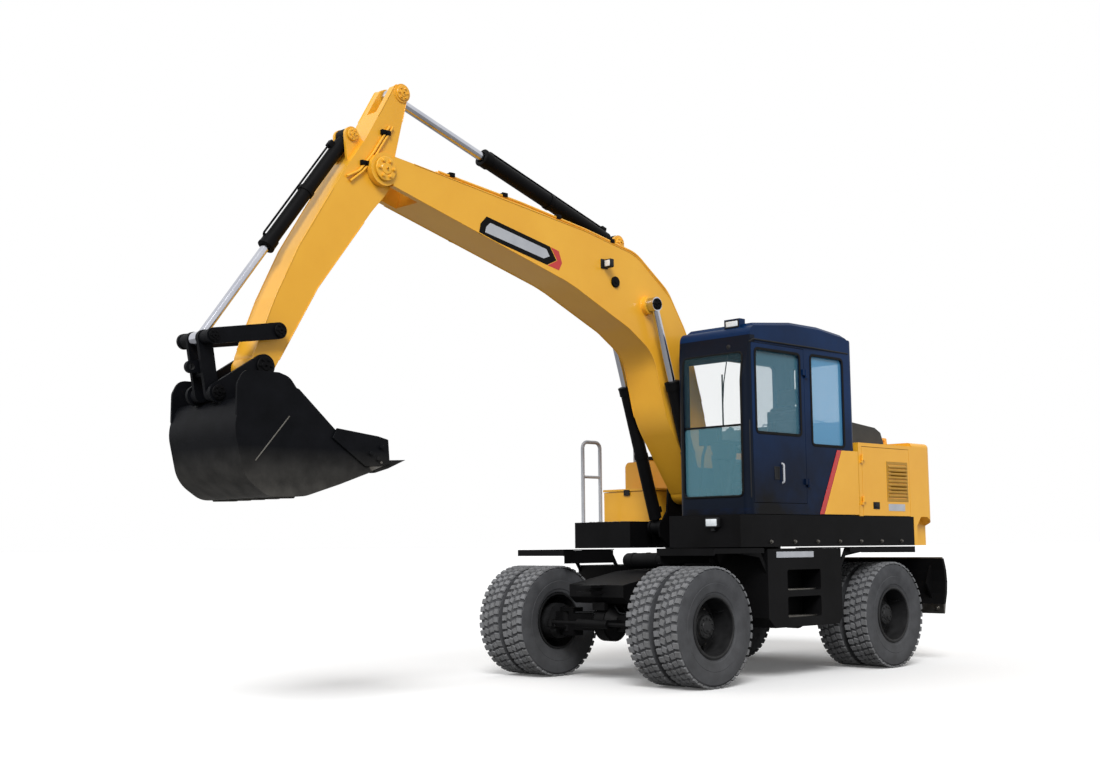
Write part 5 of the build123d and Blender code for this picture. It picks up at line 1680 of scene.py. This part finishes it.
@dataclass
class Linkage:
    """Fittings of boom, arm, bucket and cylinders: pin caps, pipes, clamps, weld beads and wear parts."""

    caps: tuple[PinCaps, ...] = (
        PinCaps(Pin.BOOM_TIP, "boom_tip_pin_caps", "boom", YELLOW, 0.213, 0.1),
        PinCaps(Pin.BOOM_EYE, "boom_cylinder_eye_caps", "boom_rods", BLACK, 0.338, 0.055),
        PinCaps(Pin.ARM_EYE, "arm_cylinder_eye_caps", "arm", YELLOW, 0.144, 0.062),
        PinCaps(Pin.ARM_BASE, "arm_cylinder_base_caps", "boom", YELLOW, 0.099, 0.05),
        PinCaps(Pin.BUCKET_BASE, "bucket_cylinder_base_caps", "arm", YELLOW, 0.091, 0.05),
        PinCaps(Pin.ROCKER, "rocker_pin_caps", "rocker", BLACK, 0.224, 0.052),
        PinCaps(Pin.ROCKER_END, "rocker_end_caps", "rocker", BLACK, 0.214, 0.045),
        PinCaps(Pin.BUCKET, "bucket_pin_caps", "bucket", BLACK, 0.177, 0.07),
        PinCaps(Pin.LINK, "link_pin_caps", "bucket", BLACK, 0.17, 0.055),
        PinCaps(Pin.BOOM_FOOT, "boom_foot_pin_caps", "upper", BLACK, 0.259, 0.055),
        PinCaps(Pin.BOOM_BASE, "boom_cylinder_base_caps", "upper", BLACK, 0.37, 0.06),
    )
    cylinders: tuple[CylinderFittings, ...] = (
        CylinderFittings("arm", "arm_barrel", Pin.ARM_BASE, Pin.ARM_EYE, (0.0,), 0.068, 1.72),
        CylinderFittings("bucket", "bucket_barrel", Pin.BUCKET_BASE, Pin.ROCKER_END, (0.0,), 0.056, 1.23),
        CylinderFittings("boom", "boom_barrels", Pin.BOOM_BASE, Pin.BOOM_EYE, (0.3, -0.3), 0.062, 1.42),
    )
    boom_side: float = 0.2
    arm_side: float = 0.135
    bucket_side: float = 0.46
    boom_pipe: float = 0.0125
    boom_rows: Corner = (0.135, 0.17)
    arm_pipe: float = 0.011
    arm_pipe_gap: float = 0.034
    boom_run: tuple[Corner, ...] = (
        (0.5, 2.62), (0.735, 3.3), (0.97, 3.66), (1.42, 3.975), (2.1, 4.103), (2.9, 4.219), (3.84, 4.3285)
    )
    boom_clamps: tuple[Corner, ...] = ((1.75, 4.027), (2.45, 4.145), (3.1, 4.235), (3.7, 4.305))
    teeth_y: tuple[float, ...] = (-0.425, -0.22, 0.0, 0.22, 0.425)

    def bands(self) -> None:
        """Blank black band with a red end and a pale field, on the boom's sides."""
        for side in Side:
            way, tag = side.value, side.tag
            y, step = way * self.boom_side, (0, way * 0.0015, 0)
            long = [(3.4, 3.955), (3.42, 3.862), (2.62, 3.7), (2.5, 3.755), (2.58, 3.87), (3.33, 4.025)]
            plate(on_side(y, long), step, 0.0004).place(f"boom_band_{tag}", "boom", BLACK)
            end = [(2.61, 3.698), (2.47, 3.67), (2.43, 3.74), (2.47, 3.845), (2.57, 3.868), (2.49, 3.755)]
            plate(on_side(y, end), step, 0.0004).place(f"boom_band_end_{tag}", "boom", RED)
            field = [(3.335, 3.935), (3.35, 3.885), (2.66, 3.752), (2.585, 3.782), (2.625, 3.84)]
            field.append((3.29, 3.975))
            pale = plate(on_side(y + way * 0.0012, field), (0, way * 0.001, 0), 0.0003)
            pale.place(f"boom_band_field_{tag}", "boom", RAIL)

    def boom_pipes(self) -> None:
        """Four steel pipes along the boom's back, in clamps."""
        for side in Side:
            way, tag = side.value, side.tag
            runs = [pipe(on_side(way * y, self.boom_run), self.boom_pipe, 0.4, 2) for y in self.boom_rows]
            joined(runs).place(f"boom_pipes_{tag}", "boom", YELLOW, 50)
            clamps = []
            for x, z in self.boom_clamps:
                low, high = at(x - 0.025, way * 0.11, z), at(x + 0.025, way * 0.195, z + 0.038)
                clamps.append(housing(low, high, 0.005, 2))
                clamps.append(hex_bolt(at(x, way * 0.1525, z + 0.037), Axis.Z, 0.016))
            joined(clamps).place(f"boom_pipe_clamps_{tag}", "boom", BLACK)

    def boom_lamp(self) -> None:
        """Work lamp on the boom's left side and the round cover below it."""
        y = self.boom_side
        foot = housing(at(1.84, y - 0.002, 3.76), at(1.93, y + 0.01, 3.85), 0.004, 2)
        shell = housing(at(1.85, y + 0.012, 3.765), at(1.905, y + 0.1, 3.845), 0.012)
        shell.pick(Part.FACE, lambda centre, normal: normal.x > 0.95).inset(0.009, -0.006)
        stem = pipe([at(1.88, y, 3.8), at(1.88, y + 0.03, 3.8)], 0.012, 0, 2)
        foot.join([shell, stem]).place("boom_lamp", "boom", TRIM)
        lens = housing(at(1.893, y + 0.023, 3.776), at(1.904, y + 0.089, 3.834), 0.005)
        lens.place("boom_lamp_lens", "boom", LENS)
        profile = [(-0.001, 0.052), (0.012, 0.052), (0.018, 0.046), (0.018, 0.02)]
        profile += [(0.024, 0.016), (0.024, 0.0)]
        lathe(profile, at(1.74, y, 3.655), Axis.Y, 32).place("boom_port_cover", "boom", BLACK)

    def arm_pipes(self) -> None:
        """Pair of steel pipes down the arm's left side to the bucket cylinder, with clamps."""
        y = self.arm_side
        pipes, clamps = [], []
        for step in (0.0, self.arm_pipe_gap):
            run = [(4.3 + step, 4.62), (4.47 + step, 4.36), (4.6 + step, 4.2), (4.72 + step, 4.1 + step)]
            pipes.append(pipe(on_side(y + 0.014, run), self.arm_pipe, 0.08, 2))
        for x, z in ((4.36, 4.56), (4.56, 4.27)):
            low, high = at(x - 0.03, y - 0.002, z - 0.02), at(x + 0.06, y + 0.03, z + 0.02)
            clamps.append(housing(low, high, 0.005, 2))
            clamps.append(hex_bolt(at(x + 0.014, y + 0.029, z), Axis.Y, 0.014))
        joined(pipes).place("arm_pipes", "arm", YELLOW, 50)
        joined(clamps).place("arm_pipe_clamps", "arm", BLACK)

    def beads(self) -> None:
        """Weld beads along the box sections."""
        foot, tip, bucket = Pin.BOOM_FOOT.spot(), Pin.BOOM_TIP.spot(), Pin.BUCKET.spot()
        weld_beads("boom", self.boom_side, 0.005, [(foot, 0.7), (tip, 0.3)])
        weld_beads("arm", self.arm_side, 0.0045, [(tip, 0.45), (bucket, 0.15)])

    def bucket_parts(self) -> None:
        """Tooth adapters, side cutters, wear strips and the weld line across each side plate."""
        for index, y in enumerate(self.teeth_y):
            top = [(4.735, 1.792), (4.6, 1.845), (4.56, 1.872), (4.6, 1.9), (4.7, 1.872), (4.76, 1.83)]
            cheek = plate(on_side(y - 0.042, top), (0, 0.084, 0), 0.006)
            pin = hex_bolt(at(4.655, y + 0.042, 1.862), Axis.Y, 0.022)
            cheek.join([pin]).place(f"tooth_adapter_{index + 1}", "bucket", STEEL)
        for side in Side:
            way, tag = side.value, side.tag
            y = way * self.bucket_side
            edge = [(4.57, 1.855), (4.585, 2.04), (4.68, 2.062), (5.06, 2.105), (5.1, 2.03)]
            edge += [(4.8, 1.83), (4.66, 1.835)]
            cutter = plate(on_side(y, edge), (0, way * 0.016, 0), 0.003)
            spots = on_side(y + way * 0.015, [(4.66, 1.98), (4.76, 1.93), (4.69, 1.89)])
            cutter.join([hex_bolt(spot, Axis.Y, 0.03, way) for spot in spots])
            cutter.place(f"side_cutter_{tag}", "bucket", DIGGER)
            line = pipe(on_side(y, [(5.75, 1.84), (5.47, 2.17)]), 0.006, 0.0, 2)
            line.place(f"side_plate_weld_{tag}", "bucket", STEEL)
        strip = [(5.375, 1.5965), (5.575, 1.5915), (5.568, 1.5785), (5.382, 1.5832)]
        wear = plate(on_side(0.355, strip), (0, 0.05, 0), 0.003)
        wear.repeat_along((0, -0.19, 0), 5).place("bucket_wear_strips", "bucket", DIGGER)

    def build(self) -> None:
        """Builds the fittings of the working gear."""
        for cap in self.caps:
            cap.build()
        self.bands()
        self.boom_pipes()
        self.boom_lamp()
        self.arm_pipes()
        self.beads()
        self.bucket_parts()
        for cylinder in self.cylinders:
            cylinder.build()


@dataclass
class Undercarriage:
    """Fittings of the chassis: bolts, step bars, bands, axle lines, splash panels, air tanks, blade trim."""

    flange_top: float = 1.095
    bolt_circle: float = 0.535
    flange_bolts: int = 36
    step_x: Corner = (0.06, 0.54)
    step_heights: Corner = (0.555, 0.8)
    bar_rows: tuple[float, ...] = (1.03, 1.09, 1.15)
    bar_half: float = 0.012
    # The differentials: their names, places and the radii of their covers.
    differentials: tuple[tuple[str, float, float], ...] = (("front", 1.65, 0.155), ("rear", -1.15, 0.165))
    line_x: Corner = (1.6, 1.7)
    splash_x: Corner = (0.96, 1.64)
    splash_y: float = 0.604
    splash_foot: float = 1.06
    tank_x: Corner = (0.94, 1.14)
    tank_height: float = 1.08
    tank_radius: float = 0.072
    strap_y: Corner = (-0.17, 0.14)
    edge_bolts: int = 10
    edge_pitch: float = 0.26

    def turntable_bolts(self) -> None:
        """Ring of bolts on the fixed flange."""
        centre = at(0, 0, self.flange_top)
        bolt = hex_bolt(centre + Vector((self.bolt_circle, 0, 0)), Axis.Z, 0.028)
        bolt.repeat_round(centre, Axis.Z, self.flange_bolts).place("turntable_bolts", "chassis", STEEL)

    def steps(self) -> None:
        """Tread bars in the step recesses, and the pale plate over them on the left."""
        (start, end), half = self.step_x, self.bar_half
        bars = []
        for z in self.step_heights:
            for y in self.bar_rows:
                bars.append(housing(at(start, y - half, z - 0.002), at(end, y + half, z + 0.012), 0.003, 2))
        joined(bars).twin().place("step_bars", "chassis", STEEL)
        top = plate(on_side(1.2, square((0.15, 1.1), (0.72, 1.155))), (0, 0.006, 0), 0.002)
        top.place("step_top_plate", "chassis", RAIL)

    def differential_bands(self) -> None:
        """Bands round the covers of both differentials."""
        for tag, x, reach in self.differentials:
            rim = reach + 0.012
            profile = [(-0.12, reach * 0.9), (-0.12, rim), (0.0, rim), (0.0, reach * 0.9)]
            ring = lathe(profile, at(x, 0.06, AXLE_HEIGHT), Axis.Y, 36)
            ring.place(f"differential_band_{tag}", "chassis", BLACK)

    def axle_lines(self) -> None:
        """Steel brake and steering lines along the front axle."""
        for side in Side:
            way, tag = side.value, side.tag
            for index, x in enumerate(self.line_x):
                path = [at(x, way * 0.1, 0.68), at(x, way * 0.16, 0.612), at(x, way * 0.4, 0.605)]
                pipe(path, 0.009, 0.05, 2).place(f"axle_line_{tag}_{index + 1}", "chassis", TRIM)

    def splash_panels(self) -> None:
        """Folded inner splash panels under the front fenders, clear of the steered tyres."""
        (start, end), y, foot = self.splash_x, self.splash_y, self.splash_foot
        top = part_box("fenders")[1][2] - 0.009
        web = plate(on_side(y, square((start, foot), (end, top))), (0, 0.006, 0))
        fold = housing(at(start, y - 0.024, foot - 0.003), at(end, y + 0.008, foot + 0.004), 0.002, 2)
        bolt = hex_bolt(at(start + 0.06, y + 0.006, foot + 0.09), Axis.Y, 0.018)
        bolt.repeat_along((0.14, 0, 0), 5)
        web.join([fold, bolt]).twin().place("splash_panels", "chassis", BLACK)

    def air_tanks(self) -> None:
        """Two brake air tanks across the chassis behind the front axle, in straps."""
        radius = self.tank_radius
        half = [(0.235, radius), (0.255, radius - 0.01), (0.268, 0.03), (0.27, 0.0)]
        profile = [(-y, reach) for y, reach in reversed(half)] + half
        tanks = []
        for x in self.tank_x:
            centre = at(x, 0, self.tank_height)
            tank = lathe(profile, centre, Axis.Y, 32)
            straps = []
            for y in self.strap_y:
                hoop = [(y, radius), (y, radius + 0.004), (y + 0.03, radius + 0.004), (y + 0.03, radius)]
                straps.append(lathe(hoop, centre, Axis.Y, 32))
            tanks.append(tank.join(straps))
        joined(tanks).place("air_tanks", "chassis", BLACK)

    def blade_trim(self) -> None:
        """Bolts of the cutting edge and a rolled top lip."""
        low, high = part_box("dozer_blade")
        pitch, count = self.edge_pitch, self.edge_bolts
        bolt = hex_bolt(at(-2.0645, -pitch * (count - 1) / 2, 0.545), Axis.X, 0.034)
        bolt.repeat_along((0, pitch, 0), count).place("cutting_edge_bolts", "blade", STEEL)
        ends = [at(-2.083, y, 1.062) for y in (low[1] + 0.01, high[1] - 0.01)]
        pipe(ends, 0.014, 0, 3).place("blade_top_lip", "blade", STEEL)

    def build(self) -> None:
        """Builds the fittings of the chassis."""
        self.turntable_bolts()
        self.steps()
        self.differential_bands()
        self.axle_lines()
        self.splash_panels()
        self.air_tanks()
        self.blade_trim()


ASSEMBLIES = (TwinTyres, WheelFittings, Undercarriage, BodyPanels, CabFittings, Linkage)


# ------------------------------------------------------------- camera and lights


def aimed(way: Vector) -> Matrix:
    """Gives the turn of a lamp or camera that looks along a direction."""
    return way.to_track_quat("-Z", "Y").to_matrix().to_4x4()


@dataclass(frozen=True)
class Sun:
    """Soft sun lamp.

    heading is measured from the machine's front towards its left and height from the floor, both in degrees,
    and width is the angle that the sun covers, which softens its shadows.
    """

    heading: float
    height: float
    strength: float
    width: float
    place: Point = (0.0, 0.0, 12.0)

    def build(self) -> None:
        """Adds the lamp."""
        bpy.ops.object.light_add(type="SUN", location=self.place)
        lamp = bpy.context.object
        lamp.data.energy = self.strength
        lamp.data.angle = math.radians(self.width)
        bearing, up = math.radians(self.heading), math.radians(self.height)
        source = Vector((math.cos(bearing) * math.cos(up), math.sin(bearing) * math.cos(up), math.sin(up)))
        lamp.matrix_world = Matrix.Translation(self.place) @ aimed(-source)


@dataclass
class Studio:
    """Pale floor, soft lamps and the camera, which stands low off the machine's left front."""

    eye: Point = (11.188, 9.031, 1.220)
    heading: float = 45.78
    rise: float = 6.53
    roll: float = -0.52
    lens: float = 46.2
    sensor: float = 36.0
    far_clip: float = 1200.0
    suns: tuple[Sun, ...] = (Sun(42, 38, 2.5, 24), Sun(-35, 35, 0.4, 40))
    fill: float = 0.54
    floor_lift: float = 0.06
    floor_tone: str = "FBFBFB"
    floor_bounce: str = "989898"
    floor_size: float = 1600.0
    floor_drop: float = 0.002

    def camera(self) -> None:
        """Adds the camera."""
        eye = at(*self.eye)
        bpy.ops.object.camera_add(location=eye)
        camera = bpy.context.object
        heading, rise = math.radians(self.heading), math.radians(self.rise)
        level = math.cos(rise)
        look = Vector((-math.cos(heading) * level, -math.sin(heading) * level, math.sin(rise)))
        roll = Matrix.Rotation(math.radians(self.roll), 4, "Z")
        camera.matrix_world = Matrix.Translation(eye) @ aimed(look) @ roll
        camera.data.lens = self.lens
        camera.data.sensor_width = self.sensor
        camera.data.clip_end = self.far_clip
        bpy.context.scene.camera = camera

    def backdrop(self) -> bpy.types.Material:
        """Makes the floor's material: white to the eye, and a plain shadow catcher.

        Returns:
            A material that keeps soft shadows on a white ground.
        """
        material = bpy.data.materials.new("studio_floor")
        material.use_nodes = True
        tree = material.node_tree
        shader = tree.nodes["Principled BSDF"]
        shader.inputs["Roughness"].default_value = 0.9
        seen = add_node(tree, "ShaderNodeLightPath").outputs["Is Camera Ray"]
        shades = {"data_type": "RGBA", 6: linear(self.floor_bounce), 7: linear(self.floor_tone)}
        tone = add_node(tree, "ShaderNodeMix", shades, {0: seen}).outputs[2]
        tree.links.new(tone, shader.inputs["Base Color"])
        product = {"operation": "MULTIPLY", 1: self.floor_lift}
        lift = add_node(tree, "ShaderNodeMath", product, {0: seen}).outputs[0]
        shader.inputs["Emission Color"].default_value = (1, 1, 1, 1)
        tree.links.new(lift, shader.inputs["Emission Strength"])
        return material

    def floor(self) -> None:
        """Adds the floor."""
        bpy.ops.mesh.primitive_plane_add(size=self.floor_size, location=(0, 0, -self.floor_drop))
        ground = bpy.context.object
        ground.name = "floor"
        ground.data.materials.append(self.backdrop())

    def sky(self) -> None:
        """Sets the world: even fill light and a white background."""
        world = bpy.data.worlds.new("studio_sky")
        bpy.context.scene.world = world
        world.use_nodes = True
        tree = world.node_tree
        fill = tree.nodes["Background"]
        fill.inputs["Color"].default_value = (1, 1, 1, 1)
        fill.inputs["Strength"].default_value = self.fill
        seen = add_node(tree, "ShaderNodeBackground", {"Color": (1, 1, 1, 1), "Strength": 1.0}).outputs[0]
        ray = add_node(tree, "ShaderNodeLightPath")
        glimpse = ray.outputs["Is Camera Ray"]
        for kind in ("Is Transmission Ray", "Is Glossy Ray"):
            links = {0: glimpse, 1: ray.outputs[kind]}
            glimpse = add_node(tree, "ShaderNodeMath", {"operation": "MAXIMUM"}, links).outputs[0]
        links = {0: glimpse, 1: fill.outputs[0], 2: seen}
        mixed = add_node(tree, "ShaderNodeMixShader", None, links).outputs[0]
        tree.links.new(mixed, tree.nodes["World Output"].inputs["Surface"])

    def build(self) -> None:
        """Adds the camera, floor, lamps and sky."""
        bpy.context.scene.view_settings.view_transform = "Standard"
        clear_selection()
        self.camera()
        self.floor()
        for sun in self.suns:
            sun.build()
        self.sky()


def main() -> None:
    """Builds the scene in order."""
    logging.basicConfig(level=logging.INFO, format="%(message)s")
    NodeFinishes().dress()
    for assembly in ASSEMBLIES:
        assembly().build()
    Studio().build()


if __name__ == "__main__":
    main()
